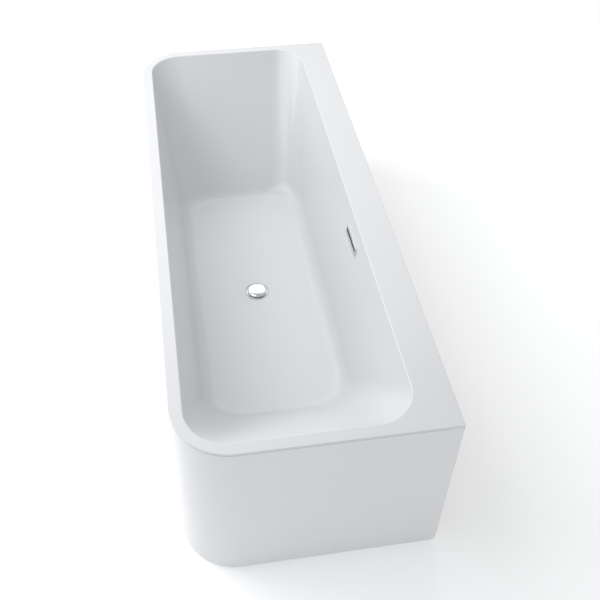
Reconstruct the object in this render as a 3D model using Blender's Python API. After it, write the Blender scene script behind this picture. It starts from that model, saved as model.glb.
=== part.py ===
"""Back-to-wall freestanding bath: acrylic shell and skirt on a steel cradle, with its waste and overflow.

Metres, +Z up. X runs across the bath from the open front side (-X) to the wall side (+X), Y along its length.
The origin is on the floor under the middle of the bath. Run with: blender --background --python part.py
"""

import math

import bmesh
import bpy
from mathutils import Matrix, Vector

# Whole bath
LENGTH = 1.800
WIDTH = 0.690
HEIGHT = 0.540
FRONT_CORNER = 0.150  # plan radius of the two corners on the open side
WALL_CORNER = 0.003  # plan radius of the two corners against the wall

# Rim and basin
END_RIM = 0.033
FRONT_RIM = 0.035
DECK = 0.098  # wide flat rim on the wall side
OPENING_CORNER = 0.104
RIM_ROUND = 0.002  # outer edge of the rim
OPENING_ROUND = 0.004  # edge where the rim turns down into the basin
BASIN_DEPTH = 0.400  # rim to the edge of the floor
SIDE_RUN = 0.062  # how far a long wall leans in over the depth
END_RUN = 0.360  # how far an end wall leans in over the depth
FLOOR_FILLET = 0.050
FLOOR_FALL = 0.004  # from the edge of the floor to the waste
ACRYLIC = 0.005
LAMINATE = 0.003
LAMINATE_DROP = 0.025  # top edge of the backing, below the rim
LIP_HEIGHT = 0.030  # turned-down edge of the deck on the wall side
LIP_SETBACK = 0.0005
LIP_ROOM = 0.002  # between each end of the lip and the skirt's returns
FLOOR_BANDS = (0.45, 0.8)  # rings across the floor, as shares of the way in to the waste

# Skirt
SKIRT = 0.006
SKIRT_GAP = 0.004  # between the skirt and the floor
SKIRT_RETURN = 0.030  # each end turns this far along the wall side
SKIRT_FOOT_CORNER = 0.020  # rounded lower corner against the wall
SEAM_HEIGHT = 0.0015  # shadow line between rim and skirt
SEAM_DEPTH = 0.003

# Fits
TOUCH = 0.0003  # between pieces that rest on each other
RUNNING = 0.0005  # around a piece that turns or slides in another

# Boards and battens
BOARD = 0.015
BOARD_MARGIN = 0.0135  # board edge, inside the edge of the basin's flat floor
BOARD_CORNER = 0.070
BOARD_HOLE = 0.045
DECK_BATTEN = 0.018
BATTEN_HEIGHT = 0.025
FRONT_BATTEN = 0.018
END_BATTEN = 0.014
FOOT_BATTEN = 0.025
FOOT_BATTEN_HEIGHT = 0.040
BATTEN_ROOM = 0.003  # between the basin wall's back and the deck batten

# Steel cradle
BAR = 0.025
BAR_WALL = 0.002
RAIL_SPREAD = 0.145  # each rail, from the middle of the basin
BAR_OFFSET = 0.560  # outer cross bars, from the middle of the bath
RAIL_OVERHANG = 0.040  # rail ends, past the outer cross bars
MID_BAR_OFFSET = 0.150
POST_SETBACK = 0.030  # outer face of the posts, from the wall side
BOLT = 0.003
BOLT_HEAD = 0.010  # across flats
BOLT_HEAD_HEIGHT = 0.004
BOLT_REACH = 0.006  # end of each bolt, above the underside of its rail
DRILL_PAST = 0.002  # how far a drilled hole's cutter runs past the wall

# Levelling feet
PAD = 0.024
PAD_HEIGHT = 0.010
PAD_EDGE = 0.006  # height of the pad's outer edge
PAD_SHOULDER = 0.0204  # radius where the pad stops sloping
PAD_HUB = 0.011
PAD_HUB_HEIGHT = 0.020
PAD_FLOOR = 0.0065
STUD = 0.005
STUD_SPARE = 0.0132  # thread left above the cross bar
STUD_HEX = 0.016  # across flats
STUD_HEX_HEIGHT = 0.006
JAM_NUT = 0.017  # across flats
JAM_NUT_HEIGHT = 0.008
FOOT_SETBACK = 0.075  # outer feet, from the sides of the bath

# Waste
WASTE_HOLE = 0.0265
WASTE_RECESS = 0.039
RECESS_DEPTH = 0.002
FLANGE = 0.036
FLANGE_RISE = 0.0025
TAIL = 0.0235
TAIL_WALL = 0.004
TAIL_DEPTH = 0.030
FLANGE_SLOPE = 0.0105  # radial run of the sloping seat
FLANGE_DROP = 0.001  # lower end of the slope, below the recess
EDGE_ROUND = 0.001  # eased edges of the cap, the flange and the overflow's cover
CAP = 0.0328
CAP_EDGE = 0.003
CAP_DOME = 0.006
CAP_LIFT = 0.0052  # underside of the cap, above the recess
DOME_STEPS = 5
SEAL_BAND = (0.35, 0.65)  # where the seal meets the flange's slope, as shares of it
STEM = 0.004
STEM_LENGTH = 0.056
STEM_COLLAR = 0.0077
CARTRIDGE = 0.0105
CARTRIDGE_DROP = 0.016  # top of the cartridge, below the recess
CARTRIDGE_FLOOR = 0.004
ARMS = 3
ARM_WIDTH = 0.003
ARM_HEIGHT = 0.004
GASKET = 0.003
BODY_FLANGE = 0.037
BODY_FLANGE_HEIGHT = 0.0056
BODY = 0.029
BODY_BORE = 0.024
BODY_BOTTOM = 0.070
SPIGOT = 0.0215
SPIGOT_BORE = 0.0185
SPIGOT_BOTTOM = 0.052
PORT_HEIGHT = 0.0835
PORT_REACH = 0.050
PORT_TURN = math.radians(-30)

# Trap
TRAP = 0.052
TRAP_BOTTOM = 0.004
TRAP_TOP = 0.050
TRAP_WALL = 0.003
TRAP_ROUND = 0.002
TRAP_NECK_TOP = 0.060
OUTLET_HEIGHT = 0.030
OUTLET = 0.019
OUTLET_BORE = 0.0165
OUTLET_SOCKET = 0.0225
OUTLET_SOCKET_END = 0.072  # from the trap's axis
OUTLET_END = 0.270  # free end of the pipe, along X
NUT_WALL = 0.005

# Overflow
OVERFLOW_DROP = 0.065  # middle of the slot, below the rim
OVERFLOW_OFFSET = -0.157  # middle of the slot, along the bath
COVER_LENGTH = 0.118
COVER_HEIGHT = 0.030
COVER_THICKNESS = 0.004
SLIT_LENGTH = 0.104
SLIT_HEIGHT = 0.010
COLLAR_WALL = 0.003
COLLAR_DEPTH = 0.018
SLOT_CORNER = 0.002
SLOT_STEPS = 4
HOLE_ROOM = 0.002  # hole in the shell, around the collar
OVERFLOW_FLANGE = 0.0065  # flange of the overflow body, around the hole
OVERFLOW_BODY_DEPTH = 0.030
OVERFLOW_WALL = 0.003
HOSE = 0.0125
HOSE_BORE = 0.0095
HOSE_OFFSET = 0.027  # hose axis, behind the face of the basin wall
HOSE_SPIGOT_END = 0.040  # along the wall from the middle of the slot
HOSE_NUT_LENGTH = 0.020
HOSE_NUT_WALL = 0.004
HOSE_DROP = 0.45  # share of the basin's depth over which the hose follows the wall
HOSE_SWEEP = (0.95, 0.82, 0.66, 0.47)  # shares of the overflow's place along the bath, going down to the rail
HOSE_POINTS = 28
HOSE_FINENESS = 12

# Fineness of round shapes
CORNER_STEPS = 8
SIDE_POINTS = 2
ROUND_STEPS = 24
FILLET_STEPS = 6

# Levels and places that follow from the sizes above
HALF_LENGTH = LENGTH / 2
HALF_WIDTH = WIDTH / 2
OPENING_X = (WIDTH - FRONT_RIM - DECK) / 2
OPENING_Y = HALF_LENGTH - END_RIM
BASIN_X = -HALF_WIDTH + FRONT_RIM + OPENING_X  # middle of the basin
FLOOR_EDGE = HEIGHT - BASIN_DEPTH
FLOOR_WASTE = FLOOR_EDGE - FLOOR_FALL
RIM_UNDER = HEIGHT - ACRYLIC
BACKING_IN = ACRYLIC + TOUCH
BACKING_OUT = BACKING_IN + LAMINATE
BOARD_TOP = FLOOR_WASTE - BACKING_OUT - TOUCH
BOARD_BOTTOM = BOARD_TOP - BOARD
RAIL_TOP = BOARD_BOTTOM - TOUCH
RAIL_BOTTOM = RAIL_TOP - BAR
CROSS_TOP = RAIL_BOTTOM - TOUCH
CROSS_BOTTOM = CROSS_TOP - BAR
SKIRT_IN = SKIRT + TOUCH
SEAT = FLOOR_WASTE - RECESS_DEPTH  # floor of the waste's recess
FOOT_X = HALF_WIDTH - FOOT_SETBACK
STUD_TOP = CROSS_TOP + STUD_SPARE
SLIT = (SLIT_LENGTH / 2, SLIT_HEIGHT / 2)
COLLAR = (SLIT[0] + COLLAR_WALL, SLIT[1] + COLLAR_WALL)
HOLE = (COLLAR[0] + HOLE_ROOM, COLLAR[1] + HOLE_ROOM)
FLANGE_EDGE = (HOLE[0] + OVERFLOW_FLANGE, HOLE[1] + OVERFLOW_FLANGE)

FINISHES = {
    "acrylic": ((0.86, 0.87, 0.88), 0.12, 0.0),
    "backing": ((0.74, 0.74, 0.68), 0.75, 0.0),
    "board": ((0.62, 0.47, 0.30), 0.80, 0.0),
    "batten": ((0.70, 0.55, 0.36), 0.75, 0.0),
    "steel": ((0.55, 0.56, 0.58), 0.40, 1.0),
    "zinc": ((0.70, 0.70, 0.66), 0.30, 1.0),
    "chrome": ((0.80, 0.81, 0.83), 0.06, 1.0),
    "rubber": ((0.03, 0.03, 0.03), 0.80, 0.0),
    "white_plastic": ((0.82, 0.82, 0.80), 0.45, 0.0),
    "black_plastic": ((0.04, 0.04, 0.04), 0.55, 0.0),
    "hose": ((0.60, 0.61, 0.62), 0.50, 0.0),
}


def clear_scene():
    for item in list(bpy.data.objects):
        bpy.data.objects.remove(item, do_unlink=True)


def finish(item, kind):
    """Give a piece a material of its own in one of the bath's finishes."""
    colour, roughness, metallic = FINISHES[kind]
    material = bpy.data.materials.new(item.name + "_" + kind)
    material.use_nodes = True
    shader = material.node_tree.nodes["Principled BSDF"]
    shader.inputs["Base Color"].default_value = (*colour, 1.0)
    shader.inputs["Roughness"].default_value = roughness
    shader.inputs["Metallic"].default_value = metallic
    item.data.materials.append(material)


def add_piece(name, bm, kind, place=None, smooth_angle=35):
    """Turn a bmesh into an object; `place` is a location or a whole matrix."""
    bmesh.ops.recalc_face_normals(bm, faces=bm.faces)
    mesh = bpy.data.meshes.new(name)
    bm.to_mesh(mesh)
    bm.free()
    mesh.shade_smooth()
    mesh.set_sharp_from_angle(angle=math.radians(smooth_angle))
    item = bpy.data.objects.new(name, mesh)
    bpy.context.collection.objects.link(item)
    if isinstance(place, Matrix):
        item.matrix_world = place
    elif place is not None:
        item.location = place
    if kind is None:
        item.hide_render = True
        item.display_type = "WIRE"
    else:
        finish(item, kind)
    return item


def loft(name, rings, kind, place=None, loop=True):
    """Skin a run of rings of equal length: closed back on its first ring, or capped at both ends."""
    bm = bmesh.new()
    rows = [[bm.verts.new(point) for point in ring] for ring in rings]
    pairs = list(zip(rows, rows[1:]))
    if loop:
        pairs.append((rows[-1], rows[0]))
    else:
        bm.faces.new(rows[0])
        bm.faces.new(rows[-1])
    for low, high in pairs:
        for index in range(len(low)):
            after = (index + 1) % len(low)
            bm.faces.new((low[index], low[after], high[after], high[index]))
    return add_piece(name, bm, kind, place)


def turned(name, profile, kind, place=None, closed=True, steps=ROUND_STEPS):
    """Turn a profile of (radius, height) points about Z; an open one starts and ends on the axis."""
    bm = bmesh.new()
    points = [bm.verts.new((radius, 0.0, height)) for radius, height in profile]
    edges = [bm.edges.new(pair) for pair in zip(points, points[1:])]
    if closed:
        edges.append(bm.edges.new((points[-1], points[0])))
    bmesh.ops.spin(
        bm, geom=points + edges, cent=(0, 0, 0), axis=(0, 0, 1), angle=math.tau, steps=steps, use_merge=True
    )
    bmesh.ops.remove_doubles(bm, verts=bm.verts, dist=1e-6)
    return add_piece(name, bm, kind, place)


def block(name, low, high, kind):
    """A plain bar between two opposite corners."""
    bm = bmesh.new()
    bmesh.ops.create_cube(bm, size=1.0)
    low, high = Vector(low), Vector(high)
    bmesh.ops.scale(bm, vec=high - low, verts=bm.verts)
    bmesh.ops.translate(bm, vec=(low + high) / 2, verts=bm.verts)
    return add_piece(name, bm, kind)


def box_tube(name, low, high, along, kind):
    """Square tube that fills the box from low to high and is open at both ends along one axis."""
    across = [axis for axis in range(3) if axis != along]

    def square(inset, end):
        corners = []
        for sides in ((0, 0), (1, 0), (1, 1), (0, 1)):
            corner = [end, end, end]
            for axis, side in zip(across, sides):
                corner[axis] = high[axis] - inset if side else low[axis] + inset
            corners.append(corner)
        return corners

    start, stop = low[along], high[along]
    rings = [square(0, start), square(0, stop), square(BAR_WALL, stop), square(BAR_WALL, start)]
    return loft(name, rings, kind)


def cylinders(name, radius, runs, kind=None, steps=ROUND_STEPS):
    """Round bars between pairs of points, in one mesh: a cutter unless it has a finish."""
    bm = bmesh.new()
    for start, end in runs:
        start, end = Vector(start), Vector(end)
        turn = (end - start).to_track_quat("Z", "Y").to_matrix().to_4x4()
        bmesh.ops.create_cone(
            bm,
            cap_ends=True,
            segments=steps,
            radius1=radius,
            radius2=radius,
            depth=(end - start).length,
            matrix=Matrix.Translation((start + end) / 2) @ turn,
        )
    return add_piece(name, bm, kind)


def boolean(item, other, operation):
    modifier = item.modifiers.new(other.name, "BOOLEAN")
    modifier.operation = operation
    modifier.solver = "EXACT"
    modifier.object = other


def cut(item, *cutters):
    for cutter in cutters:
        boolean(item, cutter, "DIFFERENCE")


def join(item, *others):
    for other in others:
        boolean(item, other, "UNION")


def rounded(half_x, half_y, radii, height, centre=(0.0, 0.0)):
    """Rounded rectangle, anticlockwise from its near front corner, with points along both long sides."""
    ring = []
    signs = ((-1, -1), (1, -1), (1, 1), (-1, 1))
    for corner, ((sign_x, sign_y), radius) in enumerate(zip(signs, radii)):
        middle_x = centre[0] + sign_x * (half_x - radius)
        middle_y = centre[1] + sign_y * (half_y - radius)
        for step in range(CORNER_STEPS + 1):
            angle = math.radians(180 + 90 * (corner + step / CORNER_STEPS))
            ring.append((middle_x + radius * math.cos(angle), middle_y + radius * math.sin(angle), height))
        if corner in (1, 3):
            start = ring[-1][1]
            end = centre[1] - sign_y * (half_y - radii[(corner + 1) % 4])
            for step in range(1, SIDE_POINTS + 1):
                ring.append((ring[-1][0], start + (end - start) * step / (SIDE_POINTS + 1), height))
    return ring


def circle(radius, height, centre=(0.0, 0.0)):
    """Circle whose points pair with those of `rounded`."""
    count = 4 * (CORNER_STEPS + 1) + 2 * SIDE_POINTS
    ring = []
    for index in range(count):
        angle = math.radians(270) + math.tau / count * (index - CORNER_STEPS - 0.5)
        ring.append((centre[0] + radius * math.cos(angle), centre[1] + radius * math.sin(angle), height))
    return ring


def disc(radius, height):
    """Circle with ROUND_STEPS points, which pair with those of `hexagon`."""
    angles = [math.tau * index / ROUND_STEPS for index in range(ROUND_STEPS)]
    return [(radius * math.cos(angle), radius * math.sin(angle), height) for angle in angles]


def hexagon(across_flats, height):
    ring = []
    for index in range(ROUND_STEPS):
        angle = math.tau * index / ROUND_STEPS
        from_flat = (angle + math.pi / 6) % (math.pi / 3) - math.pi / 6
        radius = across_flats / 2 / math.cos(from_flat)
        ring.append((radius * math.cos(angle), radius * math.sin(angle), height))
    return ring


def between(ring, other, share):
    return [tuple(Vector(a).lerp(Vector(b), share)) for a, b in zip(ring, other)]


def wall_inset(run, rise, offset=0.0):
    """How far in from the opening a wall is at a height above the floor's edge, `offset` behind its face.

    The wall leans in by `run` over the basin's depth and turns into the floor through the fillet.
    """
    lean = math.atan2(BASIN_DEPTH, run)
    floor_start = run + FLOOR_FILLET * math.tan(lean / 2)
    reach = FLOOR_FILLET + offset
    if rise >= FLOOR_FILLET - reach * math.cos(lean):
        return run * (1 - rise / BASIN_DEPTH) - offset / math.sin(lean)
    return floor_start - math.sqrt(max(reach**2 - (FLOOR_FILLET - rise) ** 2, 0.0))


def basin_ring(rise, offset=0.0):
    """Outline of the basin's wall at a height above the floor's edge."""
    half_x = OPENING_X - wall_inset(SIDE_RUN, rise, offset)
    half_y = OPENING_Y - wall_inset(END_RUN, rise, offset)
    radii = [OPENING_CORNER + offset] * 4
    return rounded(half_x, half_y, radii, FLOOR_EDGE + rise, (BASIN_X, 0.0))


def fillet_rings(offset=0.0):
    """Basin outlines from the edge of the floor up to where the long walls are straight."""
    lean = math.atan2(BASIN_DEPTH, SIDE_RUN)
    angles = [lean * step / FILLET_STEPS for step in range(FILLET_STEPS + 1)]
    return [basin_ring(FLOOR_FILLET - (FLOOR_FILLET + offset) * math.cos(angle), offset) for angle in angles]


def floor_rings(edge, hole, shares):
    """Rings of the floor between its edge and the waste."""
    return [between(edge, hole, share) for share in shares]


def rim_ring(inset, height):
    """Outline of the whole bath in plan, set in all round."""
    radii = [FRONT_CORNER - inset, WALL_CORNER - inset, WALL_CORNER - inset, FRONT_CORNER - inset]
    return rounded(HALF_WIDTH - inset, HALF_LENGTH - inset, radii, height)


def opening_ring(outset, height):
    radii = [OPENING_CORNER + outset] * 4
    return rounded(OPENING_X + outset, OPENING_Y + outset, radii, height, (BASIN_X, 0.0))


# ---------------------------------------------------------------- shells


def build_basin_shell(overflow_hole):
    waste = (BASIN_X, 0.0)
    half_turn = math.sin(math.radians(45))
    inner = fillet_rings()
    outer = fillet_rings(ACRYLIC)
    recess_edge = circle(WASTE_RECESS, FLOOR_WASTE, waste)
    under_hole = circle(WASTE_RECESS + ACRYLIC, FLOOR_WASTE - ACRYLIC, waste)
    rings = [
        rim_ring(0.0, RIM_UNDER),
        rim_ring(0.0, HEIGHT - RIM_ROUND),
        rim_ring(RIM_ROUND * (1 - half_turn), HEIGHT - RIM_ROUND * (1 - half_turn)),
        rim_ring(RIM_ROUND, HEIGHT),
        opening_ring(OPENING_ROUND, HEIGHT),
        opening_ring(OPENING_ROUND * (1 - half_turn), HEIGHT - OPENING_ROUND * (1 - half_turn)),
        basin_ring(BASIN_DEPTH - OPENING_ROUND),
        basin_ring(BASIN_DEPTH / 2),
        *reversed(inner),
        *floor_rings(inner[0], recess_edge, FLOOR_BANDS),
        recess_edge,
        circle(WASTE_RECESS - RECESS_DEPTH / 2, SEAT, waste),
        circle(WASTE_HOLE, SEAT, waste),
        circle(WASTE_HOLE, FLOOR_WASTE - ACRYLIC, waste),
        under_hole,
        *floor_rings(outer[0], under_hole, FLOOR_BANDS[:1]),
        *outer,
        basin_ring(BASIN_DEPTH / 2, ACRYLIC),
        basin_ring(BASIN_DEPTH - ACRYLIC, ACRYLIC),
    ]
    shell = loft("basin_shell", rings, "acrylic")
    lip_out = HALF_WIDTH - LIP_SETBACK
    lip_end = HALF_LENGTH - SKIRT_RETURN - LIP_ROOM
    lip = block(
        "cutter_lip",
        (lip_out - ACRYLIC, -lip_end, HEIGHT - LIP_HEIGHT),
        (lip_out, lip_end, HEIGHT - ACRYLIC / 2),
        None,
    )
    join(shell, lip)
    cut(shell, overflow_hole)


def build_basin_laminate(overflow_hole):
    waste = (BASIN_X, 0.0)
    top = BASIN_DEPTH - LAMINATE_DROP
    inner = fillet_rings(BACKING_IN)
    outer = fillet_rings(BACKING_OUT)
    inner_recess = circle(WASTE_RECESS + ACRYLIC, FLOOR_WASTE - BACKING_IN, waste)
    outer_recess = circle(WASTE_RECESS + ACRYLIC, FLOOR_WASTE - BACKING_OUT, waste)
    rings = [
        basin_ring(top, BACKING_OUT),
        basin_ring(top, BACKING_IN),
        basin_ring(BASIN_DEPTH / 2, BACKING_IN),
        *reversed(inner),
        *floor_rings(inner[0], inner_recess, (FLOOR_BANDS[0], 1.0)),
        circle(BODY, FLOOR_WASTE - BACKING_IN, waste),
        circle(BODY, FLOOR_WASTE - BACKING_OUT, waste),
        *floor_rings(outer[0], outer_recess, (1.0, FLOOR_BANDS[0])),
        *outer,
        basin_ring(BASIN_DEPTH / 2, BACKING_OUT),
    ]
    cut(loft("basin_laminate", rings, "backing"), overflow_hole)


def skirt_path(inset):
    """Plan line of the skirt from its near return, round the front, to its far return."""
    radius = FRONT_CORNER - inset
    wall = HALF_WIDTH - inset
    end = HALF_LENGTH - inset
    centre_x = -HALF_WIDTH + FRONT_CORNER
    centre_y = HALF_LENGTH - FRONT_CORNER
    path = [(wall, -HALF_LENGTH + SKIRT_RETURN), (wall, -end)]
    for side in (-1, 1):
        for step in range(CORNER_STEPS + 1):
            share = step / CORNER_STEPS if side < 0 else 1 - step / CORNER_STEPS
            angle = math.radians(90 + 90 * share)
            path.append((centre_x + radius * math.cos(angle), side * (centre_y + radius * math.sin(angle))))
    path += [(wall, end), (wall, HALF_LENGTH - SKIRT_RETURN)]
    return path


def build_apron_shell():
    top = RIM_UNDER - TOUCH
    profile = [
        (0.0, SKIRT_GAP),
        (0.0, RIM_UNDER - SEAM_HEIGHT),
        (SEAM_DEPTH, RIM_UNDER - SEAM_HEIGHT),
        (SEAM_DEPTH, top),
        (SKIRT, top),
        (SKIRT, SKIRT_GAP),
    ]
    lines = [(skirt_path(inset), height) for inset, height in profile]
    stations = []
    for index in range(len(lines[0][0])):
        stations.append([(*line[index], height) for line, height in lines])
    skirt = loft("apron_shell", stations, "acrylic", loop=False)
    cut(skirt, foot_corner_cutter())


def foot_corner_cutter():
    """Bar that rounds the skirt's two lower corners against the wall."""
    middle_x = HALF_WIDTH - SKIRT_FOOT_CORNER
    middle_z = SKIRT_GAP + SKIRT_FOOT_CORNER
    past = SKIRT_FOOT_CORNER
    low = SKIRT_GAP - past
    wide = HALF_WIDTH + past
    outline = [(middle_x, low), (wide, low), (wide, middle_z)]
    for step in range(CORNER_STEPS + 1):
        angle = -math.pi / 2 * step / CORNER_STEPS
        outline.append(
            (middle_x + SKIRT_FOOT_CORNER * math.cos(angle), middle_z + SKIRT_FOOT_CORNER * math.sin(angle))
        )
    ends = [[(x, side * (HALF_LENGTH + past), z) for x, z in outline] for side in (-1, 1)]
    return loft("cutter_foot_corner", ends, None, loop=False)


# ---------------------------------------------------------------- boards and battens


def build_base_board():
    half_x = OPENING_X - wall_inset(SIDE_RUN, 0.0) - BOARD_MARGIN
    half_y = OPENING_Y - wall_inset(END_RUN, 0.0) - BOARD_MARGIN
    radii = [BOARD_CORNER] * 4
    centre = (BASIN_X, 0.0)
    rings = [
        rounded(half_x, half_y, radii, BOARD_BOTTOM, centre),
        rounded(half_x, half_y, radii, BOARD_TOP, centre),
        circle(BOARD_HOLE, BOARD_TOP, centre),
        circle(BOARD_HOLE, BOARD_BOTTOM, centre),
    ]
    loft("base_board", rings, "board")


def build_battens():
    top = RIM_UNDER - TOUCH
    front = -HALF_WIDTH + SKIRT_IN
    lip_in = HALF_WIDTH - LIP_SETBACK - ACRYLIC
    deck_in = HALF_WIDTH - DECK + BACKING_OUT + BATTEN_ROOM
    reach = HALF_LENGTH - SKIRT_RETURN - LIP_ROOM
    block("deck_batten", (deck_in, -reach, top - DECK_BATTEN), (lip_in - TOUCH, reach, top), "board")
    straight = HALF_LENGTH - FRONT_CORNER
    block(
        "front_rim_batten",
        (front, -straight, top - BATTEN_HEIGHT),
        (front + FRONT_BATTEN, straight, top),
        "batten",
    )
    foot_top = CROSS_BOTTOM - TOUCH
    foot_bottom = foot_top - FOOT_BATTEN_HEIGHT
    block(
        "front_foot_batten",
        (front, -straight, foot_bottom),
        (front + FOOT_BATTEN, straight, foot_top),
        "batten",
    )
    left = -HALF_WIDTH + FRONT_CORNER
    for name, side in (("near", -1), ("far", 1)):
        outer = side * (HALF_LENGTH - SKIRT_IN)
        rim_in = outer - side * END_BATTEN
        low_y, high_y = sorted((outer, rim_in))
        block(
            name + "_rim_batten",
            (left, low_y, top - BATTEN_HEIGHT),
            (deck_in - TOUCH, high_y, top),
            "batten",
        )
        foot_in = outer - side * FOOT_BATTEN
        low_y, high_y = sorted((outer, foot_in))
        block(
            name + "_foot_batten",
            (left, low_y, foot_bottom),
            (HALF_WIDTH - SKIRT_RETURN, high_y, foot_top),
            "batten",
        )


# ---------------------------------------------------------------- steel cradle


def cross_bars():
    """Name and place along the bath of each cross bar, with the feet's places along it."""
    return (
        ("near", -BAR_OFFSET, (-FOOT_X, FOOT_X)),
        ("mid", MID_BAR_OFFSET, (BASIN_X,)),
        ("far", BAR_OFFSET, (-FOOT_X, FOOT_X)),
    )


def rails():
    return (("front", BASIN_X - RAIL_SPREAD), ("rear", BASIN_X + RAIL_SPREAD))


def build_cradle():
    bolt_top = RAIL_BOTTOM + BOLT_REACH
    bolt_room = BOLT + RUNNING
    reach = BAR_OFFSET + RAIL_OVERHANG
    post_out = HALF_WIDTH - POST_SETBACK
    for name, x in rails():
        rail = box_tube(
            name + "_rail", (x - BAR / 2, -reach, RAIL_BOTTOM), (x + BAR / 2, reach, RAIL_TOP), 1, "steel"
        )
        runs = [((x, y, RAIL_BOTTOM - DRILL_PAST), (x, y, RAIL_BOTTOM + BAR / 2)) for _, y, _ in cross_bars()]
        cut(rail, cylinders("cutter_" + name + "_rail", bolt_room, runs, steps=12))
    for name, y, feet in cross_bars():
        bar = box_tube(
            name + "_cross_bar",
            (-HALF_WIDTH + SKIRT_IN, y - BAR / 2, CROSS_BOTTOM),
            (post_out, y + BAR / 2, CROSS_TOP),
            0,
            "steel",
        )
        through = (CROSS_BOTTOM - DRILL_PAST, CROSS_TOP + DRILL_PAST)
        stud_runs = [((x, y, through[0]), (x, y, through[1])) for x in feet]
        bolt_runs = [((x, y, through[0]), (x, y, through[1])) for _, x in rails()]
        cut(bar, cylinders("cutter_" + name + "_studs", STUD + RUNNING, stud_runs, steps=16))
        cut(bar, cylinders("cutter_" + name + "_bolts", bolt_room, bolt_runs, steps=12))
        box_tube(
            name + "_deck_post",
            (post_out - BAR, y - BAR / 2, CROSS_TOP + TOUCH),
            (post_out, y + BAR / 2, RIM_UNDER - DECK_BATTEN - 2 * TOUCH),
            2,
            "steel",
        )
        for rail_name, x in rails():
            head_top = CROSS_BOTTOM - TOUCH
            rings = [
                hexagon(BOLT_HEAD, head_top - BOLT_HEAD_HEIGHT),
                hexagon(BOLT_HEAD, head_top),
                disc(BOLT, head_top),
                disc(BOLT, bolt_top),
            ]
            loft("frame_bolt_" + name + "_" + rail_name, rings, "zinc", (x, y, 0), loop=False)


def build_feet():
    """Each foot is a pad, a stud that turns in it, and a jam nut under the cross bar."""
    corners = {-FOOT_X: "_front", FOOT_X: "_rear", BASIN_X: ""}
    pad_profile = [
        (0.0, 0.0),
        (PAD, 0.0),
        (PAD, PAD_EDGE),
        (PAD_SHOULDER, PAD_HEIGHT),
        (PAD_HUB, PAD_HEIGHT + TOUCH),
        (PAD_HUB, PAD_HUB_HEIGHT),
        (STUD + RUNNING, PAD_HUB_HEIGHT),
        (STUD + RUNNING, PAD_FLOOR),
        (0.0, PAD_FLOOR),
    ]
    hex_bottom = PAD_HUB_HEIGHT + TOUCH
    hex_top = hex_bottom + STUD_HEX_HEIGHT
    stud_rings = [
        disc(STUD, PAD_FLOOR + TOUCH),
        disc(STUD, hex_bottom),
        hexagon(STUD_HEX, hex_bottom),
        hexagon(STUD_HEX, hex_top),
        disc(STUD, hex_top),
        disc(STUD, STUD_TOP),
    ]
    nut_top = CROSS_BOTTOM - TOUCH
    nut_rings = [
        hexagon(JAM_NUT, nut_top - JAM_NUT_HEIGHT),
        hexagon(JAM_NUT, nut_top),
        disc(STUD + RUNNING, nut_top),
        disc(STUD + RUNNING, nut_top - JAM_NUT_HEIGHT),
    ]
    for bar_name, y, feet in cross_bars():
        for x in feet:
            foot = bar_name + corners[x]
            axis = bpy.data.objects.new("foot_axis_" + foot, None)
            bpy.context.collection.objects.link(axis)
            axis.location = (x, y, 0)
            pad = turned("foot_pad_" + foot, pad_profile, "black_plastic", closed=False)
            stud = loft("foot_stud_" + foot, stud_rings, "zinc", loop=False)
            nut = loft("foot_nut_" + foot, nut_rings, "zinc")
            for piece in (pad, stud, nut):
                piece.parent = axis


# ---------------------------------------------------------------- waste and trap


def build_plug():
    """Domed cap and stem, sliding in the cartridge on the waste's axis, with its seal."""
    under = SEAT + CAP_LIFT
    edge = under + CAP_EDGE
    collar_bottom = SEAT - CAP_EDGE / 2
    dome = [(CAP * math.sin(angle), edge + CAP_DOME * math.cos(angle)) for angle in dome_angles()]
    profile = [
        (0.0, collar_bottom - STEM_LENGTH + STEM),
        (STEM, collar_bottom - STEM_LENGTH + STEM),
        (STEM, collar_bottom),
        (STEM_COLLAR, collar_bottom),
        (STEM_COLLAR, under),
        (CAP - EDGE_ROUND, under),
        (CAP, under + EDGE_ROUND),
        *dome,
        (0.0, edge + CAP_DOME),
    ]
    turned("pop_up_plug", profile, "chrome", (BASIN_X, 0, 0), closed=False, steps=32)
    lip_low, lip_high = seal_seat()
    seal = [
        (STEM_COLLAR + TOUCH, under - TOUCH),
        (STEM_COLLAR + TOUCH, lip_low[1]),
        lip_low,
        lip_high,
        (lip_high[0], under - TOUCH),
    ]
    turned("plug_seal", seal, "rubber", (BASIN_X, 0, 0), steps=32)


def dome_angles():
    """Angles from the cap's edge to just short of its top."""
    return [math.pi / 2 * (1 - step / DOME_STEPS) for step in range(DOME_STEPS)]


def flange_slope():
    """Lower and upper end of the flange's sloping seat, as (radius, height)."""
    bore = TAIL - TAIL_WALL
    return (bore, SEAT - FLANGE_DROP), (bore + FLANGE_SLOPE, SEAT + TOUCH + FLANGE_RISE)


def seal_seat():
    """Two points just above the flange's sloping seat, where the seal closes."""
    (low_r, low_z), (high_r, high_z) = flange_slope()
    points = []
    for share in SEAL_BAND:
        radius = low_r + (high_r - low_r) * share
        points.append((radius, low_z + (high_z - low_z) * share + TOUCH))
    return points


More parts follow.
